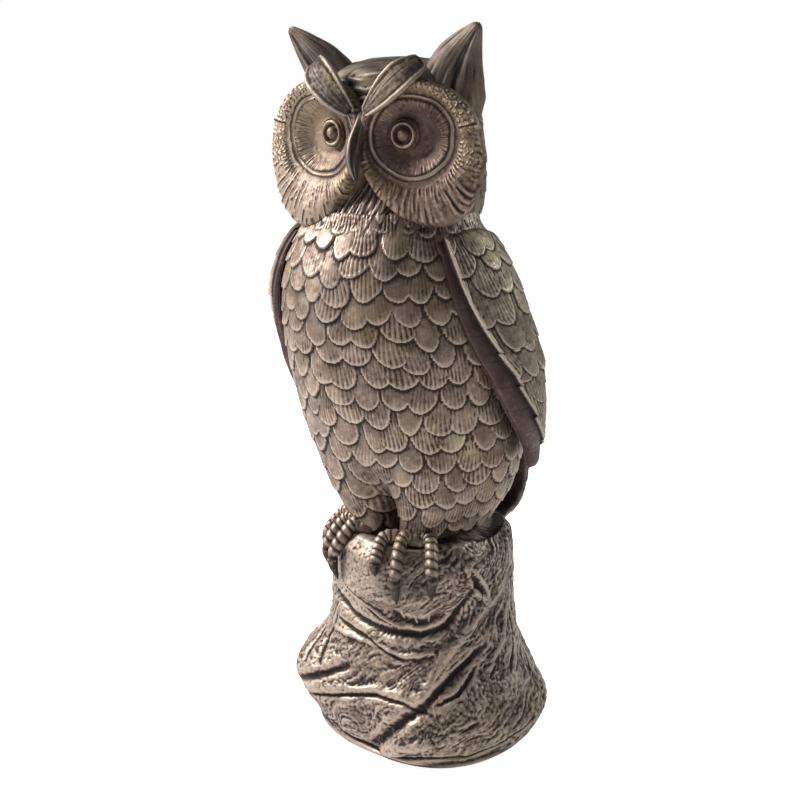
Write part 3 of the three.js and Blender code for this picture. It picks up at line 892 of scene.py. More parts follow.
@dataclass
class Body:
    """The feathered body, from the stump's seat to the neck.

    Attributes:
        floor: level of its underside.
        height: from there to the top of the neck.
        half_width: half its greatest width.
        front_depth: from its middle line to the breast.
        back_depth: from its middle line to the back.
        lean: how far forward the neck stands of the feet.
        sway: how far it stands to the owl's right of them.
        thigh: how far each thigh swells out.
        cleft: how deep the cleft between them is.
        row_feathers: how many feathers go round in a row.
        throat_feathers: how many go round in a row at the throat.
    """

    floor: float
    height: float
    half_width: float = 63 * MM
    front_depth: float = 54.5 * MM
    back_depth: float = 47.5 * MM
    lean: float = 22 * MM
    sway: float = 6 * MM
    thigh: float = 7 * MM
    cleft: float = 17 * MM
    row_feathers: int = 25
    throat_feathers: int = 42

    def middle(self, share: Array) -> Array:
        """The middle line's points at shares of the height.

        Args:
            share: shares of the height, from 0 to 1.

        Returns:
            A point for each share.
        """
        bend = along((0, 0.05, 0.27, 0.5, 0.7, 0.88, 1, 1), share)
        x = -self.sway * bend
        y = -self.lean * bend
        return np.stack([x, y, self.floor + self.height * share], axis=-1)

    def skin(self, turn: Array, share: Array, out: Array | float = 0.0) -> Array:
        """The smooth body's points.

        Args:
            turn: the angle from the front, towards the owl's left, in degrees.
            share: the share of the height.
            out: how far to stand off the skin.

        Returns:
            The points.
        """
        width = self.half_width * along((0.53, 0.76, 0.93, 0.985, 1, 0.97, 0.88, 0.7), share)
        front = self.front_depth * along((0.66, 0.76, 0.9, 0.98, 1, 0.97, 0.87, 0.68), share)
        back = self.back_depth * along((0.78, 0.9, 0.98, 1, 1, 0.98, 0.9, 0.72), share)
        s, c = np.sin(np.radians(turn)), np.cos(np.radians(turn))
        depth = np.where(c > 0, front, back)
        thighs = self.thigh * swell(np.abs(turn) - 31, 19) * swell(share - 0.14, 0.15)
        cleft = self.cleft * swell(turn - 2, 9.5) * (1 - ramp(share, 0.05, 0.3))
        grown = thighs - cleft + out
        flat = np.stack([(width + grown) * s, -(depth + grown) * c, 0 * turn], axis=-1)
        return self.middle(share) + flat

    def build(self) -> bpy.types.Object:
        """The body with its breast, flank and back feathers.

        Returns:
            The body's piece.
        """
        skin, turn, share = column(
            306, spread_turns(306, 18, 0.42), self.skin, lambda t: 0.004 + 0.992 * t
        )
        noise = Noise(11)
        level = share * self.height / MM
        pitch = 360 / self.row_feathers
        rows = tuple(3 + 10.8 * i for i in range(16))
        scales = Plumage(
            rows, length=28, rise=2.4, ribs=3.8, rib_depth=0.18, wander=0.26, rounded=9,
            count=self.row_feathers, seed=3,
        )
        # the rows wander and sag a little, as modelled by hand
        drift = 0.24 * noise.fractal(skin.base, 36 * MM, 2)
        sag = 3.4 * noise.fractal(skin.base + 0.2, 32 * MM, 2)
        feathers = scales.relief(turn / pitch + drift, level + sag)
        calm = 1 - 0.45 * swell(turn + 62, 30) * ramp(share, 0.75, 0.4)
        throat = Plumage(
            (150, 156, 162, 168), 26, width=1.0, rounded=12, rise=1.2, ribs=2, rib_depth=0.3,
            count=self.throat_feathers, seed=8,
        ).relief(turn * self.throat_feathers / 360 + drift, level)
        high = ramp(share, 0.93, 0.97)
        skin.carve(feathers * calm * (1 - high) + throat * high)
        skin.carve(0.5 * MM * noise.fractal(skin.base, 16 * MM, 2))
        skin.carve(0.1 * MM * noise.fractal(skin.base, 2.2 * MM, 2))
        # painted shade: the tone is darkened in the cleft between the thighs, at the bottom of the front
        painted_crotch_shade = swell(turn - 2, 12) * (1 - ramp(share, 0.12, 0.3))
        skin.tone += 0.13 * noise.fractal(skin.base + 0.4, 30 * MM, 3) - 0.3 * painted_crotch_shade
        spot = swell(turn - 55, 8) * swell(level - 60, 6)
        skin.tone += 0.35 * spot
        skin.gilt = 1.4 * spot + 0.35 * swell(turn - 70, 16) * swell(level - 40, 18)
        return skin.solid("body_casting")

    def throat(self) -> Skin:
        """The bundle of stringy feathers that comes down from under the beak.

        Returns:
            The carved skin.
        """
        skin, angle, t = bar(
            ((0, -42, 314), (-1, -48, 303), (-2.5, -54.5, 292), (-4, -60.5, 281), (-5.5, -64.5, 271)),
            lambda t: (along((9, 13, 16, 15, 9), t), along((3, 4.2, 4.2, 3.2, 1.4), t)),
            (0, -1, 0.1), 200, 170,
        )
        across = np.sin(np.radians(angle))
        strand = np.stack([across * 13 + 1.2 * np.sin(7 * t), t * 5.5 + 11, 0 * t], axis=-1)
        noise = Noise(13)
        skin.carve(0.45 * MM * noise.value(strand, 1.0) + 0.3 * MM * noise.value(strand * 2.1, 1.0))
        # painted shade: the throat is darkened all over, as it lies in the shadow of the face discs
        skin.tone -= 0.3
        return skin


# ---------------------------------------------------------------- Stump


@dataclass
class Stump:
    """The tree stump that the owl stands on.

    Attributes:
        floor: level of its foot.
        height: from the foot to the seat.
        top_radius: its radius at the seat.
        foot_radius: its usual radius at the foot.
        burl: how far the burl under the toes swells out.
        root: how far the largest root swells out.
        strokes: the ridges and creases in its bark, by turn in degrees and level in millimetres.
    """

    floor: float
    height: float
    top_radius: float = 49 * MM
    foot_radius: float = 66 * MM
    burl: float = 8 * MM
    root: float = 12 * MM
    strokes: tuple[Stroke, ...] = (
        Stroke(((-44, 82), (-15, 75), (10, 72), (30, 72), (46, 77), (56, 88), (66, 101)), 2.4, -3.0),
        Stroke(((12, 83), (22, 79), (34, 79), (45, 84)), 2.6, -2.2),
        Stroke(((-24, 93), (-8, 86), (8, 79), (20, 75)), 1.0, 1.3),
        Stroke(((-20, 89), (-6, 83), (6, 77)), 0.9, -1.3),
        Stroke(((18, 85), (20, 80)), 0.8, 1.2),
        Stroke(((26, 84), (28, 78)), 0.8, 1.2),
        Stroke(((35, 84), (35, 79)), 0.8, 1.2),
        Stroke(((90, 92), (60, 74), (42, 58), (30, 38)), 4.0, 2.6),
        Stroke(((68, 61), (48, 51), (38, 44), (29, 35)), 1.7, -3.4, 1.6),
        Stroke(((62, 52), (50, 43), (38, 38)), 1.2, -2.0),
        Stroke(((-38, 62), (-4, 64), (18, 60), (38, 63)), 1.6, 1.8),
        Stroke(((-34, 68), (-8, 66), (8, 61), (20, 58)), 1.2, -2.0),
        Stroke(((-52, 24), (-30, 38), (-16, 48)), 2.4, -3.8),
        Stroke(((-38, 23), (-13, 32), (6, 37), (22, 37), (31, 34)), 1.1, -1.7),
        Stroke(((-38, 27), (-13, 36), (6, 41), (22, 41)), 2.2, 1.3),
        Stroke(((4, 6), (15, 20), (24, 30), (33, 37)), 2.8, -3.6),
        Stroke(((10, 4), (22, 14), (36, 20)), 4.0, 3.6),
        Stroke(((-34, 7), (9, 4), (34, 9), (52, 7), (70, 11), (92, 16)), 1.1, -2.0),
        Stroke(((-44, 38), (-55, 52), (-52, 70)), 1.7, -2.2),
        Stroke(((-34, 40), (-42, 54), (-37, 68)), 1.5, -1.8),
        Stroke(((-64, 36), (-70, 52), (-66, 72)), 1.7, -2.0),
        Stroke(((104, 36), (112, 54), (104, 78)), 1.8, -2.2),
        Stroke(((70, 49), (85, 63), (96, 79)), 1.9, 1.8),
        Stroke(((84, 44), (98, 60), (108, 90)), 1.4, -1.8),
        Stroke(((-80, 100), (-116, 70), (-126, 30)), 2.2, -2.6),
        Stroke(((150, 95), (128, 60), (138, 18)), 2.2, -2.6),
        Stroke(((176, 84), (156, 52), (164, 12)), 2.0, 2.0),
        Stroke(((-100, 60), (-142, 48), (-170, 64)), 1.8, -2.4),
    )

    def skin(self, turn: Array, share: Array, out: Array | float = 0.0) -> Array:
        """The smooth stump's points.

        Args:
            turn: the angle from the front, towards the owl's left, in degrees.
            share: the share of the height.
            out: how far to stand off the skin.

        Returns:
            The points.
        """
        flare = along((0.76, 1, 0.78, 0.36, 0.16, 0.08, 0.03, 0), share)
        roots = (
            swell(turn + 57, 34) * swell(share - 0.27, 0.15)
            + 0.5 * swell(turn - 104, 30) * swell(share - 0.13, 0.16)
            + 0.25 * swell(np.abs(turn) - 172, 30) * swell(share - 0.16, 0.2)
        )
        burl = swell(turn - 12, 46) * ramp(share, 0.69, 0.79) * (1 - 0.45 * ramp(share, 0.86, 1))
        foot = self.foot_radius * around((0.9, 1.08, 1.0, 0.95, 0.97, 1, 1.03, 0.93), turn)
        radius = self.top_radius + (foot - self.top_radius) * flare
        radius = radius + self.root * roots + self.burl * burl
        radius = radius * (1 - 0.1 * ramp(share, 0.93, 1.0) ** 1.5) + out
        x = radius * np.sin(np.radians(turn))
        y = -radius * np.cos(np.radians(turn))
        return np.stack([x, y, self.floor + self.height * share], axis=-1)

    def build(self) -> bpy.types.Object:
        """The stump with its bark.

        Returns:
            The stump's piece.
        """
        skin, turn, share = column(
            240, spread_turns(386, 20, 0.4), lambda t, u: self.skin((t + 180) % 360 - 180, u)
        )
        turn = (turn + 180) % 360 - 180
        level = (self.floor + self.height * share) / MM
        noise = Noise(5)
        warp = np.stack([noise.value(skin.base + k, 15 * MM) for k in (0.0, 0.3, 0.6)], axis=-1)
        lean = skin.base + 5 * MM * warp
        # broad facets, then grain that runs round and down the stump, then curls and pits in patches
        skin.carve(2.2 * MM * noise.fractal(skin.base, 26 * MM, 2))
        flow = np.stack([turn * 0.62 - level * 0.78, (turn * 0.78 + level * 0.62) / 4.5, 0 * turn], -1)
        seam = swell(180 - np.abs(turn), 14)
        grain = noise.ridges((flow + 600 * warp * 0.012) * MM, 4.6 * MM, 3) - 0.5
        patch = ramp(noise.fractal(skin.base, 22 * MM, 2), -0.35, 0.5)
        calm = swell(turn + 4, 34) * ramp(level, 76, 84) * 0.45 + (1 - ramp(level, 3, 9)) * 0.9
        calm = np.clip(calm, 0, 1)
        skin.carve(0.95 * MM * grain * (1 - calm) * (1 - seam) * (1 - 0.7 * patch))
        curls = np.cos(7 * noise.value(lean, 4 * MM) + 3 * noise.value(skin.base, 11 * MM))
        skin.carve(0.2 * MM * curls * (1 - calm) * (0.3 + 0.7 * patch))
        first, second = noise.cells(lean, 2.6 * MM)
        pits = np.clip((second - first) / 0.3, 0, 1) - 0.7
        skin.carve(0.3 * MM * pits * (1 - 0.85 * calm) * (0.3 + 0.7 * patch))
        for stroke in self.strokes:
            skin.carve(stroke.relief(turn, level))
        knot = np.hypot((turn - 65) + 0.7 * (level - 98), 0.45 * (level - 98)) / 4.2
        skin.carve(MM * (1.1 * swell(knot - 1, 0.35) - 1.6 * swell(knot, 0.7)))
        skin.carve(0.17 * MM * noise.fractal(skin.base, 1.7 * MM, 2) * (1 - 0.5 * calm))
        # painted highlight: the burl under the toes is painted paler, and the front a little paler too
        skin.tone += 0.16 * swell(turn + 4, 30) * ramp(level, 74, 84) + 0.1 * swell(turn + 10, 45)
        foot = self.floor / MM
        skin.relief *= ramp(level, foot, foot + 3)
        return skin.solid("stump_casting")


# ---------------------------------------------------------------- Head and face


@dataclass
class Head:
    """The skull behind the face, with its crown.

    Attributes:
        top: level of the crown.
        height: from the base of the skull to the crown.
        middle: how far its middle line is in front of the stump's, negative.
        half_width: half its greatest width.
        front_depth: from its middle line to the front.
        back_depth: from its middle line to the back.
        forehead: how far the forehead stands forward between the brows.
        nape: how far the back of the neck swells out to meet the body.
        strokes: the pale strokes on the crown, by turn in degrees and hundredths of the height.
    """

    top: float
    height: float = 87 * MM
    middle: float = -20 * MM
    half_width: float = 40.5 * MM
    front_depth: float = 26 * MM
    back_depth: float = 36 * MM
    forehead: float = 10 * MM
    nape: float = 10 * MM
    strokes: tuple[Stroke, ...] = (
        Stroke(((-30, 80), (-14, 83), (0, 82), (10, 84)), 1.1, 0.7),
        Stroke(((-34, 86), (-20, 88), (-4, 87)), 1.0, 0.6),
        Stroke(((-12, 77), (0, 78), (12, 77)), 1.0, 0.7),
        Stroke(((-2, 90), (14, 91), (26, 89)), 1.0, 0.6),
        Stroke(((-26, 74), (-12, 72), (-4, 74)), 1.0, 0.5),
    )

    def skin(self, turn: Array, share: Array) -> Array:
        """The smooth skull's points.

        Args:
            turn: the angle from the front, towards the owl's left, in degrees.
            share: the share of the height.

        Returns:
            The points.
        """
        width = along((0.7, 0.93, 1, 1, 0.97, 0.95, 0.94, 0.92), share)
        s, c = np.sin(np.radians(turn)), np.cos(np.radians(turn))
        dome = 0.86 - 0.34 * ramp(-c, -0.3, 0.8)
        width = width * np.sqrt(1 - 0.985 * np.clip((share - dome) / (1 - dome), 0, 1) ** 2.8)
        depth = np.where(c > 0, self.front_depth, self.back_depth)
        depth = depth + self.forehead * swell(turn, 34) * ramp(share, 0.6, 0.8)
        depth = depth + self.nape * ramp(-c, -0.2, 0.7) * (1 - ramp(share, 0.0, 0.42))
        z = self.top - self.height * (1 - share) + 0 * turn
        square = 1 - 0.38 * ramp(share, 0.55, 0.8)
        ahead = np.where(c > 0, np.abs(c) ** square, c)
        return np.stack([self.half_width * width * s, self.middle - depth * width * ahead, z], axis=-1)

    def build(self) -> bpy.types.Object:
        """The skull, with stroked forehead and small feathers behind.

        Returns:
            The head's piece.
        """
        skin, turn, share = column(220, np.linspace(-180, 180, 241), self.skin)
        noise = Noise(21)
        level = share * self.height / MM
        rows = tuple(4 + 8.5 * i for i in range(9))
        small = Plumage(rows, 20, rounded=7, rise=1.2, ribs=3, count=24, wander=0.26, seed=14)
        behind = ramp(-np.cos(np.radians(turn)), -0.35, 0.1) * (1 - ramp(share, 0.86, 0.95))
        skin.carve(small.relief(turn / 15, level) * behind)
        hair = np.stack([skin.base[..., 0] / 3.2, skin.base[..., 1], skin.base[..., 2] / 1.4], axis=-1)
        skin.carve(0.22 * MM * (noise.ridges(hair, 3.2 * MM, 2) - 0.5) * (1 - behind))
        skin.carve(0.5 * MM * noise.fractal(skin.base, 11 * MM, 2))
        for stroke in self.strokes:
            raised = stroke.relief(turn, share * 100)
            skin.carve(raised)
            skin.tone += 0.3 * np.clip(raised / (0.6 * MM), 0, 1)
        skin.tone -= 0.12 * (1 - behind)
        return skin.solid("head_casting")


@dataclass
class Face:
    """The two face discs with all that is set on them.

    Attributes:
        level: level of the middle of the eye sockets.
        spread: from the middle of the face to the middle of a socket.
        front: how far the sockets are in front of the stump's middle line, negative.
        sweep: degrees that each disc is turned back.
        outline: a disc's radius every 30 degrees, from outward and up round to inward and down. It and
            the lengths below are in millimetres.
        socket: the radius of a socket's rim.
        dish: how deep a socket is.
        round_to: the reach up to which the disc is round, and beyond which it takes its outline.
        rim_reach: the reach that stands for the outline.
        eye_radius: an eye's radius.
    """

    level: float
    spread: float = 26 * MM
    front: float = -55.5 * MM
    sweep: float = 9.0
    outline: tuple[float, ...] = (34.2, 30.3, 27.6, 26.5, 27, 27, 27, 29, 32.5, 39, 43.2, 38.2)
    socket: float = 18.8
    dish: float = 5.6
    round_to: float = 22.0
    rim_reach: float = 46.0
    eye_radius: float = 7.5

    def place(self, outward: Array, up: Array, forward: Array, side: int = 1) -> Array:
        """Points from a disc's own millimetres: out from the middle, up, and forward off it.

        Args:
            outward: how far out from the socket's middle, away from the beak.
            up: how far above it.
            forward: how far off the disc.
            side: 1 for the left disc and -1 for the right one.

        Returns:
            The points in the figure, in metres.
        """
        s, c = math.sin(math.radians(self.sweep)), math.cos(math.radians(self.sweep))
        x = self.spread + (c * outward + s * forward) * MM
        y = self.front + (s * outward - c * forward) * MM
        return np.stack([side * x, y, self.level + up * MM + 0 * x], axis=-1)

    def spot(self, outward: float, up: float, forward: float, side: int) -> tuple[float, ...]:
        """One such point, in millimetres in the figure."""
        return tuple(self.place(np.array(outward), np.array(up), np.array(forward), side) / MM)

    def disc(self, side: int) -> Skin:
        """A face disc with its socket, ring, striations and rolled rim.

        Args:
            side: 1 for the left one and -1 for the right one.

        Returns:
            The carved skin.
        """
        # out runs from the middle to the rim and, behind, in again; back is 0 in front and 1 on the rear
        out = np.concatenate(
            [[0, 0.02], np.linspace(0.03, 1, 170)[1:], np.full(9, 1.0), [0.94, 0.6, 0.02, 0]]
        )
        back = np.concatenate([np.zeros(171), np.linspace(0.1, 1, 9), [1, 1, 1, 1]])
        turns, share = np.meshgrid(np.linspace(0, 360, 401), out)
        behind = np.meshgrid(turns[0], back)[1]
        theta = np.radians(turns)
        rim = around(self.outline, turns)
        if side < 0:
            rim = rim * (1 + 0.14 * swell(turns - 282, 26))
        inner = self.round_to
        reach = self.rim_reach * share
        run = (reach - inner) / (self.rim_reach - inner)
        radius = np.where(reach > inner, inner + (rim - inner) * run, reach)
        past = np.clip(run, 0, 1)
        round_ring = 1 - ramp(reach, inner, 30)
        x = radius * np.cos(theta) * (1 + 0.08 * round_ring)
        z = radius * np.sin(theta) * (1 - 0.02 * round_ring)
        noise = Noise(31 + side)
        edge = np.stack([np.cos(theta) * 1.7, np.sin(theta) * 1.7, 0 * theta + side], axis=-1)
        socket = self.socket + 0.7 * noise.fractal(edge, 1.0, 2)
        low = ramp(-np.sin(theta), 0.0, 0.8)
        thick = 5.5 + 3.5 * low
        bowl = -self.dish * (1 - ramp(radius, 8.5, socket - 0.2))
        swollen = 0.3 + (1.7 + 1.3 * low) * np.sin(math.pi * 0.78 * past)
        pillow = swollen * ramp(reach, inner - 3.2, inner + 4)
        roll = (2.2 + 1.2 * low) * np.clip((past - 0.88) / 0.12, 0, 1) ** 2
        front = bowl + pillow - roll
        turned = front * (1 - behind) - (thick + 4.5 * (1 - share)) * behind
        bulge = 1 + 0.028 * np.sin(math.pi * behind)
        skin = Skin(self.place(x * bulge, z * bulge, turned, side))
        face = (behind == 0) * 1.0
        uneven = 0.75 + 0.25 * noise.value(edge * 2.2, 1.0)
        skin.carve(1.5 * MM * uneven * swell(radius - socket - 0.4, 0.75) * face)
        strand = np.stack([np.cos(theta) * 31, np.sin(theta) * 31, reach / 8.5 + 40], axis=-1)
        strands = noise.value(strand, 1.0) + 0.6 * noise.value(strand * 1.9, 1.0)
        outer = ramp(reach, inner + 1, inner + 4) * face
        upper = swell(turns - 42, 36) + swell(turns - 402, 36)
        worms_at = np.clip(upper + 0.5 * swell(turns - 345, 16), 0, 1)
        skin.carve(0.26 * MM * strands * outer * (1 - 0.7 * worms_at))
        flat = np.stack([x, 0 * x, z], axis=-1)
        first, second = noise.cells(flat, 2.3)
        skin.carve(0.6 * MM * (np.clip((second - first) / 0.35, 0, 1) - 0.55) * outer * worms_at)
        ticks = np.sin(0.5 * math.pi * turns) * swell(reach - 27, 4) * swell(turns - 335, 22)
        skin.carve(0.35 * MM * ticks * outer)
        for angle, start, depth in ((12, 0.2, 0.9), (150, 0.5, 0.8), (262, 0.55, 0.7), (285, 0.5, 0.6),
                                    (308, 0.3, 0.8), (238, 0.5, 0.7), (318, 0.45, 0.6), (205, 0.4, 0.6)):
            gap = np.radians((turns - angle + 180) % 360 - 180) * radius
            notch = -depth * swell(gap, 0.5) + 0.5 * depth * swell(gap - 1.2, 0.6)
            skin.carve(MM * notch * ramp(past, start, start + 0.2) * face)
        wall = swell(radius - 15.5, 3.0) * face
        skin.carve(0.24 * MM * strands * wall * (0.35 + 0.65 * ramp(np.cos(theta), -0.2, 0.7)))
        skin.carve(0.12 * MM * noise.fractal(skin.base, 1.8 * MM, 2))
        # a paler band across the disc, and painted shade darkening the inside of the socket
        skin.tone += 0.1 * swell(past - 0.4, 0.3) * face - 0.25 * (radius < self.socket - 1) * face
        # the raised socket rim painted pale: rubbed paint and a painted highlight
        skin.tone += 0.8 * uneven * swell(radius - socket - 0.4, 0.7) * face
        skin.gilt = 0.5 * worms_at * outer + 0.35 * swell(turns - 225, 25) * outer
        # painted highlight: the right disc, turned to the key light, is painted paler on its outer half
        if side < 0:
            skin.tone += 0.46 * face * ramp(np.cos(theta), -0.5, 0.6)
            skin.gilt *= 1.5
        return skin

    def eye(self, side: int) -> Skin:
        """An eye: an iris ring round a domed pupil.

        Args:
            side: 1 for the left one and -1 for the right one.

        Returns:
            The carved skin.
        """
        pupil = ((0, 5.0), (0.18, 4.9), (0.34, 4.1), (0.42, 2.6), (0.5, 2.3))
        iris = ((0.58, 2.5), (0.66, 3.7), (0.74, 4.0), (0.82, 3.6), (0.88, 2.6))
        lid = ((0.95, 3.1), (1.0, 2.4), (1.02, 1), (1, -2), (0.5, -2))
        profile = pupil + iris + lid
        radius = along([p[0] for p in profile], np.linspace(0, 1, 90))
        height = along([p[1] for p in profile], np.linspace(0, 1, 90))
        radius[0], radius[-1] = 0, 0
        full = self.eye_radius
        a, r = np.meshgrid(np.radians(np.linspace(0, 360, 121)), full * radius)
        h = np.repeat(height[:, None], 121, axis=1)
        skin = Skin(self.place(r * np.cos(a) - 5, r * np.sin(a) + 1, h - self.dish, side))
        # a paler iris ring, and a painted highlight as a pale spot in the middle of the pupil
        skin.tone += 0.3 * swell(r / full - 0.74, 0.1) + 0.25 * swell(r / full, 0.2)
        # painted shade in the groove round the pupil and in the one round the iris
        skin.tone -= 0.35 * swell(r / full - 0.52, 0.09) + 0.3 * swell(r / full - 0.88, 0.05)
        skin.carve(0.2 * MM * (swell(r / full - 0.74, 0.08) - swell(r / full - 0.52, 0.06)))
        skin.carve(0.1 * MM * Noise(41).fractal(skin.base, 1.4 * MM, 2))
        return skin

    def beak(self) -> Skin:
        """The hooked beak, down the middle of the face.

        Returns:
            The carved skin.
        """
        front = (self.front - self.spread * math.sin(math.radians(self.sweep))) / MM
        top = self.level / MM + 9.6
        path = ((0, front + 3, top + 2), (0, front - 0.8, top - 6), (0, front - 4.2, top - 14),
                (0, front - 5.6, top - 22), (0, front - 3, top - 30))
        skin, angle, t = bar(
            path,
            lambda t: (3.5 * along((0.9, 0.85, 1.1, 0.95, 0.22), t),
                       4.2 * along((0.5, 0.7, 1.05, 0.9, 0.25), t)),
            (0, -1, 0), 120, 96,
        )
        strand = np.stack([angle / 14, t * 2.4, 0 * t], axis=-1)
        skin.carve(0.25 * MM * Noise(51).value(strand + 50, 1.0))
        skin.carve(0.6 * MM * swell(angle, 16) * ramp(t, 0.05, 0.3))
        # the lower beak is a little darker, and its left side, turned from the key light, much darker:
        # painted shade
        left = ramp(-np.sin(np.radians(angle)), -0.1, 0.3)
        skin.tone -= (0.45 * left + 0.1) * ramp(t, 0.34, 0.5)
        return skin

    def brow(self, side: int) -> Skin:
        """A leaf-shaped brow, from the beak's bridge up over the socket to the crown.

        Args:
            side: 1 for the left one and -1 for the right one.

        Returns:
            The carved skin.
        """
        stations = ((0, 11, 1.8), (6, 16.3, 3.0), (12.6, 22.6, 3.4), (20, 29.2, 1.6), (26.5, 34, -4))
        stretch = 1.0 if side > 0 else 1.12
        path = [self.spot(-22.6 + stretch * o, u, f, side) for o, u, f in stations]
        skin, angle, t = bar(
            path,
            lambda t: (7.7 * along((0.3, 0.72, 1.0, 1.02, 0.6), t), 3.2 * along((0.6, 0.9, 1, 1, 0.7), t)),
            (0.1 * side, -0.9, 0.42), 190, 130,
        )
        across = np.sin(np.radians(angle))
        top = ramp(np.cos(np.radians(angle)), 0.0, 0.3)
        skin.carve(MM * top * (0.9 * swell(np.abs(across) - 0.88, 0.13) - 0.9 * (1 - across**2) ** 0.8))
        strand = np.stack([across * 9, t * 3.4 + 60, 0 * t], axis=-1)
        skin.carve(0.13 * MM * top * Noise(61).value(strand, 1.0))
        skin.carve(0.12 * MM * Noise(62).fractal(skin.base, 2.4 * MM, 2))
        skin.tone += 0.26 * swell(np.abs(across) - 0.92, 0.08) * top - 0.12 * top
        skin.gilt = 0.4 * top * ramp(-across * side, 0.0, 0.4)
        return skin

    def ear(self, side: int) -> Skin:
        """An ear tuft, upright on the outer side and sloped on the inner one.

        Args:
            side: 1 for the left one and -1 for the right one.

        Returns:
            The carved skin.
        """
        path = [(side * x, y, z) for x, y, z in (
            (31, -27, 336), (33, -30, 350), (38.6, -34, 361), (46.4, -39, 371), (54.2, -42.5, 380))]
        skin, angle, t = bar(
            path,
            lambda t: (along((14, 16.5, 13.8, 8.2, 1.9), t), along((9, 8, 6.4, 4.2, 1.4), t)),
            (0.25 * side, -1, 0), 190, 150,
        )
        across = np.sin(np.radians(angle)) * side
        strand = np.stack([across * 8, t * 3 + 30, 0 * t], axis=-1)
        noise = Noise(71)
        skin.carve(0.3 * MM * noise.value(strand, 1.0) + 0.1 * MM * noise.value(strand * 2.3, 1.0))
        front = ramp(np.cos(np.radians(angle)), 0, 0.3)
        skin.carve(-0.9 * MM * front * swell(across - 0.15, 0.16) * (1 - ramp(t, 0.85, 1)))
        skin.tone -= 0.1 * front
        return skin


# ---------------------------------------------------------------- Wings and tail


@dataclass
class Wing:
    """A folded wing, which follows the body's skin and hangs from its widest level.

    Attributes:
        body: the body that it lies on.
        side: 1 for the owl's left and -1 for its right.
        flare: how far its foot stands off the body.
        foot: the share of the body's height that it comes down to.
        thickness: its greatest thickness.
        standoff: the gap between it and the body.
        hang: the share of the body's height below which it hangs straight down.
        front_edge: the turn of its front edge, from its top down, in degrees.
        back_edge: the turn of its back edge.
        covert_edge: the back edge that its short feathers are spaced out to.
        drawn_length: the length that its feathers are drawn on, in millimetres.
    """

    body: Body
    side: int
    flare: float
    foot: float = 0.25
    thickness: float = 8 * MM
    standoff: float = 1.3 * MM
    hang: float = 0.56
    front_edge: tuple[float, ...] = (55, 57, 65, 79, 97)
    back_edge: tuple[float, ...] = (138, 157, 158, 147, 124)
    covert_edge: tuple[float, ...] = (138, 160, 164, 154, 128)
    drawn_length: float = 118

    def place(self, angle: Array, t: Array) -> Array:
        """The smooth wing's points.

        Args:
            angle: the angle round its section, in degrees: -90 at its front edge, 0 on its outer face.
            t: how far down it is, from 0 at its top to 1 at its foot.

        Returns:
            The points.
        """
        sn, cs = np.sin(np.radians(angle)), np.cos(np.radians(angle))
        s = 0.5 + 0.5 * np.sign(sn) * np.abs(sn) ** 0.85
        ends = np.sqrt(1 - (1 - np.clip(np.minimum(t, 1 - t) / WING_END_SHARE, 0, 1)) ** 2)
        depth = 0.5 + 0.5 * np.sign(cs) * np.abs(cs) ** 0.45 * ends
        front = along(self.front_edge, t)
        steps = 12.0 * np.mod((t - 0.30) / 0.15, 1.0) * ramp(t, 0.30, 0.36) * (1 - ramp(t, 0.93, 1.0))
        back = along(self.back_edge, t) + steps
        turn = front + (back - front) * s
        top, foot = along((0.93, 0.95, 0.93, 0.9), s), along((0, 0, 0.08, 0.22), s) + self.foot
        share = top + (foot - top) * t
        thick = self.thickness * along((0.35, 0.8, 1, 1, 0.85), t) * along((1, 1, 0.8, 0.55), s)
        out = self.standoff + thick * depth + self.flare * ramp(t, 0.3, 0.8)
        points = self.body.skin(turn * self.side, np.maximum(share, self.hang), out)
        points[..., 2] = self.body.floor + self.body.height * share
        return points

    def build(self, name: str) -> bpy.types.Object:
        """The wing, with a smooth band down its front edge, coverts above and long primaries below.

        Args:
            name: the piece's name.

        Returns:
            The wing's piece.
        """
        outer = np.linspace(-100, 96, 281)
        inner = np.linspace(96, 260, 61)[1:]
        skin, angle, t = column(270, np.concatenate([outer, inner]), self.place)
        s = 0.5 + 0.5 * np.sin(np.radians(np.clip(angle, -90, 90)))
        up = (1 - t) * self.drawn_length
        face = ((angle > -98) & (angle < 94)) * 1.0
        start = 56
        turn = start + s * (along(self.covert_edge, t) - start)
        long = Plumage(
            (4, 13, 24, 36, 48), 66, width=1.2, rounded=13, rise=1.9,
            ribs=5, rib_depth=0.12, wander=0.1, seed=23,
        )
        short = Plumage(
            (50, 63, 76, 88, 99, 109), 28, width=1.14, rounded=9.5, rise=1.7,
            ribs=4, rib_depth=0.11, wander=0.3, seed=27,
        )
        primaries = long.relief(s * 4.6 + 0.35 * (1 - t), up)
        coverts = short.relief(turn / 17, up)
        lift = ramp(up, 46, 52) * 0.9 * MM
        feathers = np.where(coverts > 0.05 * MM, np.maximum(coverts + lift, primaries), primaries)
        run = s * (along((60, 76, 78, 66, 30), t))
        width = 3.6 + 14 * t**1.3
        band = 1 - ramp(run, width - 0.7, width + 0.5)
        nicks = swell(np.mod(t * 9 + 0.2, 1) - 0.5, 0.05) * band
        plain = -0.2 * MM + 0.25 * MM * Noise(81).fractal(skin.base, 9 * MM, 2)
        skin.carve((feathers * (1 - band) + (plain - 0.08 * MM * nicks) * band) * face)
        ridge = swell(run - width, 0.8) * (1 - 0.5 * ramp(t, 0.4, 0.8)) * face
        skin.carve(0.7 * MM * ridge)
        noise = Noise(82)
        skin.carve(0.12 * MM * noise.fractal(skin.base, 2.0 * MM, 2) * (1 - 0.7 * band))
        # the ridge behind the band is paler near the top, rubbed paint and a painted highlight; the band
        # itself is painted dusky
        skin.tone += (0.42 * ridge * (1 - ramp(t, 0.3, 0.6)) - 0.5 * band * (1 - ridge)) * face
        skin.gilt = 0.3 * (1 - band) * face * swell(s - 0.45, 0.2)
        return skin.solid(name)


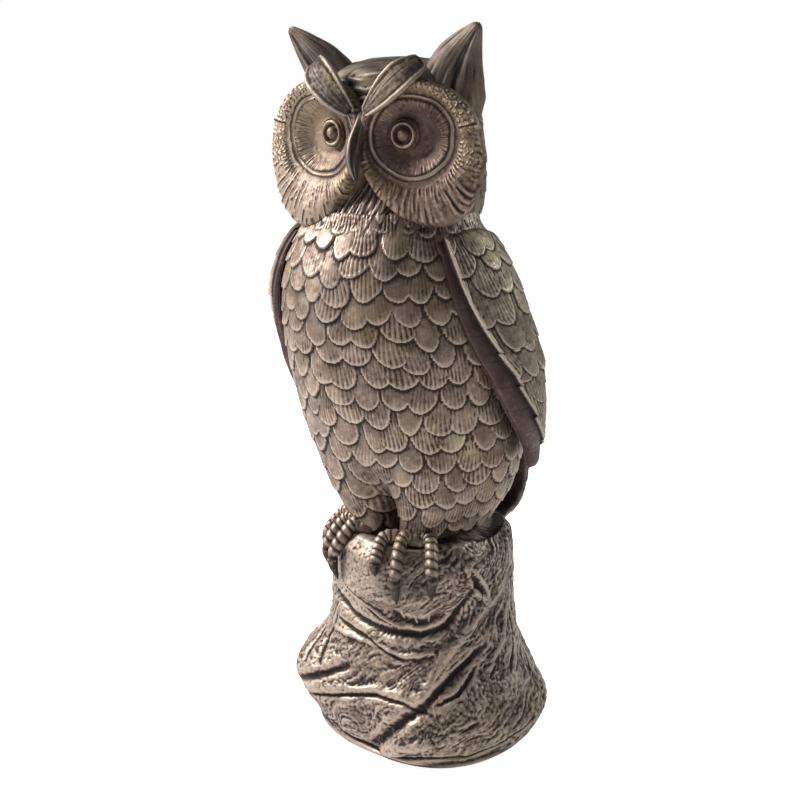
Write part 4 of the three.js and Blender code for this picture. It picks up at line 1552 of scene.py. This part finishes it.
@dataclass
class Tail:
    """The tail, which comes out from under the wings and hangs behind the stump's seat.

    Attributes:
        body: the body whose back it follows.
        stump: the stump that it hangs behind.
        seat: the stump's top level.
        half_width: half its greatest width.
        length: from its upper end to its tip.
        above: the share of its length that lies above the seat.
        thickness: its thickness.
        standoff: the gap between it and what it lies on.
        tuck: how far its upper end goes into the back.
    """

    body: Body
    stump: Stump
    seat: float
    half_width: float = 41 * MM
    length: float = 84 * MM
    above: float = 0.72
    thickness: float = 6.5 * MM
    standoff: float = 1.5 * MM
    tuck: float = 9 * MM

    def place(self, angle: Array, t: Array) -> Array:
        """The smooth tail's points, from shares of its length and angles round its section.

        Args:
            angle: the angle round its section, 0 in the middle of its outer face, in degrees.
            t: how far down it is, from 0 at its top to 1 at its tip.

        Returns:
            The points.
        """
        sn, cs = np.sin(np.radians(angle)), np.cos(np.radians(angle))
        across = np.sign(sn) * np.abs(sn) ** 0.9
        ends = np.sqrt(1 - (1 - np.clip(np.minimum(t, 1 - t) / TAIL_END_SHARE, 0, 1)) ** 2)
        depth = 0.5 + 0.5 * np.sign(cs) * np.abs(cs) ** 0.5 * ends
        x = across * self.half_width * along((0.8, 1, 1, 0.85, 0.55), t)
        z = self.seat + self.length * self.above - self.length * (t - 0.12 * across**2 * t)
        turn = 180 - np.degrees(np.arcsin(x / (self.body.half_width * 1.1)))
        share = np.maximum(0.06, (z - self.body.floor) / self.body.height)
        skin = self.body.skin(turn, share)[..., 1]
        radius = self.stump.top_radius
        edge = radius * np.sqrt(1 - (x / (radius * 1.3)) ** 2)
        inner = skin + (np.maximum(skin, edge) - skin) * ramp(t, 0.2, 0.6)
        sunk = self.tuck * (1 - ramp(t, 0.0, 0.22))
        return np.stack([x, inner + self.standoff - sunk + depth * self.thickness, z], axis=-1)

    def build(self) -> bpy.types.Object:
        """The tail with its long feathers.

        Returns:
            The tail's piece.
        """
        skin, angle, t = column(200, np.linspace(-180, 180, 321), self.place)
        across = np.sin(np.radians(angle))
        face = ramp(np.cos(np.radians(angle)), -0.1, 0.15)
        plumes = Plumage((3, 9, 26, 44), 70, width=1.15, rounded=12, rise=1.8, ribs=5, wander=0.1, seed=33)
        skin.carve(plumes.relief(across * 2.6, (1 - t) * self.length / MM) * face)
        skin.carve(0.14 * MM * Noise(91).fractal(skin.base, 2.4 * MM, 2))
        return skin.solid("tail_casting")


# ---------------------------------------------------------------- Feet


@dataclass
class Foot:
    """A foot whose three ringed toes curl over the stump's edge.

    Attributes:
        stump: the stump that it grips.
        seat: the stump's top level.
        side: 1 for the left foot and -1 for the right one.
        toes: each toe's turn from the middle, in degrees, and its length as a share of the reach.
        radius: a toe's radius, in millimetres.
        spread: from the middle to the middle toe, in millimetres.
        reach: how far down the toes come, in millimetres.
    """

    stump: Stump
    seat: float
    side: int
    toes: tuple[tuple[float, float], ...]
    radius: float = 3.3
    spread: float = 22.0
    reach: float = 26.0

    def middle(self) -> float:
        """The middle toe's turn, in degrees."""
        return self.side * math.degrees(math.asin(self.spread * MM / self.stump.top_radius))

    def on_stump(self, turn: float, share: float, out: float) -> Array:
        """A point off the stump's skin, in millimetres."""
        return self.stump.skin(np.array(float(turn)), np.array(float(share)), out * MM) / MM

    def toe(self, step: int) -> Skin:
        """One toe with its rings and its talon.

        Args:
            step: 0, 1 or 2, from the owl's right to its left.

        Returns:
            The carved skin.
        """
        offset, length = self.toes[step]
        turn = self.middle() + offset
        seat = self.seat / MM
        knuckle = self.on_stump(self.middle(), 1, 0) * 0.84
        knuckle[2] = seat + self.radius
        edge = self.on_stump(turn, 1, -1.5)
        edge[2] = seat + self.radius * 0.55 + 1.2
        drop = self.reach / (self.stump.height / MM) * length
        lift = self.radius * 0.55
        path = (knuckle, edge + np.array([0, 0, 1.5]), self.on_stump(turn, 1 - drop * 0.42, lift + 2.4),
                self.on_stump(turn, 1 - drop, lift - 0.9))
        skin, angle, t = bar(
            [tuple(p) for p in path],
            lambda t: (self.radius * along((0.8, 1.04, 1.0, 0.84, 0.14), t),
                       self.radius * along((0.9, 1.2, 1.22, 1.05, 0.24), t)),
            (0.3, -0.6, 0.75), 200, 72,
        )
        top = ramp(np.cos(np.radians(angle)), -0.5, 0.3)
        scaly = ramp(t, 0.06, 0.14) * (1 - ramp(t, 0.64, 0.7))
        rings = np.abs(np.sin(math.pi * 15 * t + 0.5 * np.sin(np.radians(angle))))
        skin.carve(0.5 * MM * (rings**0.8 - 0.6) * scaly * top)
        skin.carve(-0.45 * MM * swell(t - 0.69, 0.018))
        skin.carve(0.1 * MM * Noise(97).fractal(skin.base, 2 * MM, 2))
        skin.tone += 0.16 * scaly * top - 0.5 * ramp(t, 0.66, 0.74)
        return skin

    def instep(self) -> Skin:
        """The knuckle that the toes come out of.

        Returns:
            The carved skin.
        """
        middle = self.on_stump(self.middle(), 1, 0) * 0.8
        middle[2] = self.seat / MM + self.radius + 0.5
        path = [tuple(middle + np.array([x, 0, 0])) for x in (-10.5, -3, 3, 10.5)]
        skin, angle, t = bar(
            path,
            lambda t: (8.4 * along((0.5, 1, 1, 0.5), t), 5.2 * along((0.5, 1, 1, 0.5), t)),
            (0, 0, 1), 60, 60,
        )
        strand = np.stack([t * 9, angle / 60, 0 * t], axis=-1)
        skin.carve(0.5 * MM * Noise(95).value(strand + 20, 1.0))
        return skin


# ---------------------------------------------------------------- Studio


@dataclass(frozen=True)
class Studio:
    """The floor, the lights and the camera.

    Attributes:
        ground: the middle of the stump's foot.
        floor_drop: how far the floor lies below the figure's foot.
        focal: the camera's focal length, in millimetres on a 36 mm sensor.
        aim: the point that the camera looks at, from the middle of the foot, in millimetres.
        lit_height: the level that the lights face.
        lamp_glow: how strongly the floor lights the figure.
        seen_glow: how strongly the floor glows to the camera.
        sky_glow: how strongly the surroundings light the figure.
    """

    ground: Vector
    floor_drop: float = 0.2 * MM
    focal: float = 54.9
    aim: tuple[float, float, float] = (-9.3, -10.8, 187.9)
    lit_height: float = 190 * MM
    lamp_glow: float = 0.36
    seen_glow: float = 0.9
    sky_glow: float = 0.14

    def floor(self) -> None:
        """A wide, flat, pale floor, which glows a little."""
        form = bmesh.new()
        bmesh.ops.create_grid(form, x_segments=1, y_segments=1, size=4.0)
        mesh = bpy.data.meshes.new("floor")
        form.to_mesh(mesh)
        form.free()
        sheet = linked(mesh, "floor")
        sheet.location.z = -self.floor_drop
        made = bpy.data.materials.new("Pale floor")
        made.use_nodes = True
        shader = made.node_tree.nodes["Principled BSDF"]
        shader.inputs["Base Color"].default_value = (0.9, 0.9, 0.9, 1)
        shader.inputs["Roughness"].default_value = 0.9
        shader.inputs["Emission Color"].default_value = (1, 1, 1, 1)
        t = Tree(made.node_tree)
        seen = t.add("ShaderNodeLightPath").outputs["Is Camera Ray"]
        glow = t.span(seen, 0, 1, (self.lamp_glow, self.seen_glow))
        made.node_tree.links.new(glow, shader.inputs["Emission Strength"])
        mesh.materials.append(made)

    def light(
        self, name: str, turn: float, rise: float, away: float, size: float, watts: float,
        colour: tuple[float, float, float] = (1, 1, 1),
    ) -> None:
        """An area light that faces the figure.

        Args:
            name: what it is called.
            turn: its angle from the front, towards the owl's left, in degrees.
            rise: its angle above the floor, in degrees.
            away: how far off it stands.
            size: its width.
            watts: its power.
            colour: its colour.
        """
        lamp = bpy.data.lights.new(name, "AREA")
        lamp.size, lamp.energy, lamp.color = size, watts, colour
        stand = bpy.data.objects.new(name, lamp)
        bpy.context.scene.collection.objects.link(stand)
        flat = math.cos(math.radians(rise))
        way = Vector((math.sin(math.radians(turn)) * flat, -math.cos(math.radians(turn)) * flat,
                      math.sin(math.radians(rise))))
        stand.location = self.ground + Vector((0, 0, self.lit_height)) + way * away
        stand.rotation_mode = "QUATERNION"
        stand.rotation_quaternion = (-way).to_track_quat("-Z", "Y")

    def camera(self, turn: float = 32, away: float = 0.64, rise: float = 0.358) -> None:
        """The camera, at about the owl's eye level and to its left.

        Args:
            turn: its angle from the front, in degrees.
            away: how far it is from the stump's middle line.
            rise: its height above the ground.
        """
        lens = bpy.data.cameras.new("camera")
        lens.lens, lens.sensor_width, lens.clip_start = self.focal, 36, 0.01
        eye = bpy.data.objects.new("camera", lens)
        bpy.context.scene.collection.objects.link(eye)
        way = Vector((math.sin(math.radians(turn)), -math.cos(math.radians(turn)), 0))
        eye.location = self.ground + way * away + Vector((0, 0, rise))
        aim = self.ground + Vector(self.aim) * MM
        eye.rotation_mode = "QUATERNION"
        eye.rotation_quaternion = (aim - eye.location).to_track_quat("-Z", "Y")
        bpy.context.scene.camera = eye

    def build(self) -> None:
        """Sets the whole studio up."""
        self.floor()
        self.camera()
        self.light("key", -66, 36, 1.0, 0.45, 18.5, (1.0, 0.975, 0.955))
        self.light("fill", 55, 20, 1.4, 0.8, 0.9, (1.0, 0.97, 0.95))
        self.light("rim", 142, 30, 1.1, 0.4, 4.5, (0.86, 0.95, 0.93))
        world = bpy.context.scene.world or bpy.data.worlds.new("studio")
        bpy.context.scene.world = world
        world.use_nodes = True
        back = world.node_tree.nodes["Background"]
        t = Tree(world.node_tree)
        seen = t.add("ShaderNodeLightPath").outputs["Is Camera Ray"]
        back.inputs["Color"].default_value = (1, 1, 1, 1)
        world.node_tree.links.new(t.span(seen, 0, 1, (self.sky_glow, 1.0)), back.inputs["Strength"])
        bpy.context.scene.view_settings.view_transform = "Standard"


# ---------------------------------------------------------------- The owl


def main() -> None:
    """Builds the owl piece by piece round the frame, and its studio."""
    logging.basicConfig(level=logging.INFO, format="%(message)s")
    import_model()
    low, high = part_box("filler_plug")
    axis = ((low.x + high.x) / 2, (low.y + high.y) / 2)
    Studio(Vector((*axis, 0))).build()
    dresser = Dresser(axis)
    low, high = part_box("body")
    body = Body(low.z, high.z - low.z)
    dresser.dress(body.build(), Finish.PLUMAGE, "body_bronze", "body")
    dresser.dress(body.throat().solid("throat_casting"), Finish.PLUMAGE, "body_bronze", "body")
    low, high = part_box("stump")
    stump, seat = Stump(low.z, high.z - low.z), high.z
    dresser.dress(stump.build(), Finish.BARK, "bark_bronze", "stump")
    head = Head(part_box("head")[1].z)
    dresser.dress(head.build(), Finish.CREST, "body_bronze", "head")
    face = Face(head.top - EYE_DROP)
    for side, name in ((1, "left"), (-1, "right")):
        disc = face.disc(side).solid(f"{name}_disc_casting")
        dresser.dress(disc, Finish.FACE, "body_bronze", f"{name}_face_disc")
        eye = face.eye(side).solid(f"{name}_eye_casting")
        dresser.dress(eye, Finish.FACE, "dark_bronze", f"{name}_eye")
        brow = face.brow(side).solid(f"{name}_brow_casting")
        dresser.dress(brow, Finish.CREST, "pale_bronze", f"{name}_brow")
        ear = face.ear(side).solid(f"{name}_ear_casting")
        dresser.dress(ear, Finish.CREST, "body_bronze", f"{name}_ear_tuft")
        wing = Wing(body, side, 5 * MM, foot=0.25) if side > 0 else Wing(body, side, 0.5 * MM, foot=0.31)
        dresser.dress(wing.build(f"{name}_wing_casting"), Finish.PLUMAGE, "body_bronze", f"{name}_wing")
        foot = Foot(stump, seat, side, LEFT_TOES if side > 0 else RIGHT_TOES)
        for step in range(3):
            toe = foot.toe(step).solid(f"{name}_toe_{step + 1}")
            dresser.dress(toe, Finish.CLAW, "pale_bronze", f"{name}_foot")
        dresser.dress(foot.instep().solid(f"{name}_instep"), Finish.CLAW, "pale_bronze", f"{name}_foot")
    dresser.dress(face.beak().solid("beak_casting"), Finish.CREST, "dark_bronze", "beak")
    dresser.dress(Tail(body, stump, seat).build(), Finish.DARK, "dark_bronze", "tail")
    dresser.paint_kept({
        "body_core": Finish.FOAM, "head_core": Finish.FOAM, "ballast": Finish.PLASTER,
        "base_plate": Finish.RUBBER, "filler_plug": Finish.RUBBER, "foot_pad": Finish.FELT,
        "left_leg_rod": Finish.STEEL, "right_leg_rod": Finish.STEEL,
        "left_wing_peg": Finish.STEEL, "right_wing_peg": Finish.STEEL,
    })


if __name__ == "__main__":
    main()
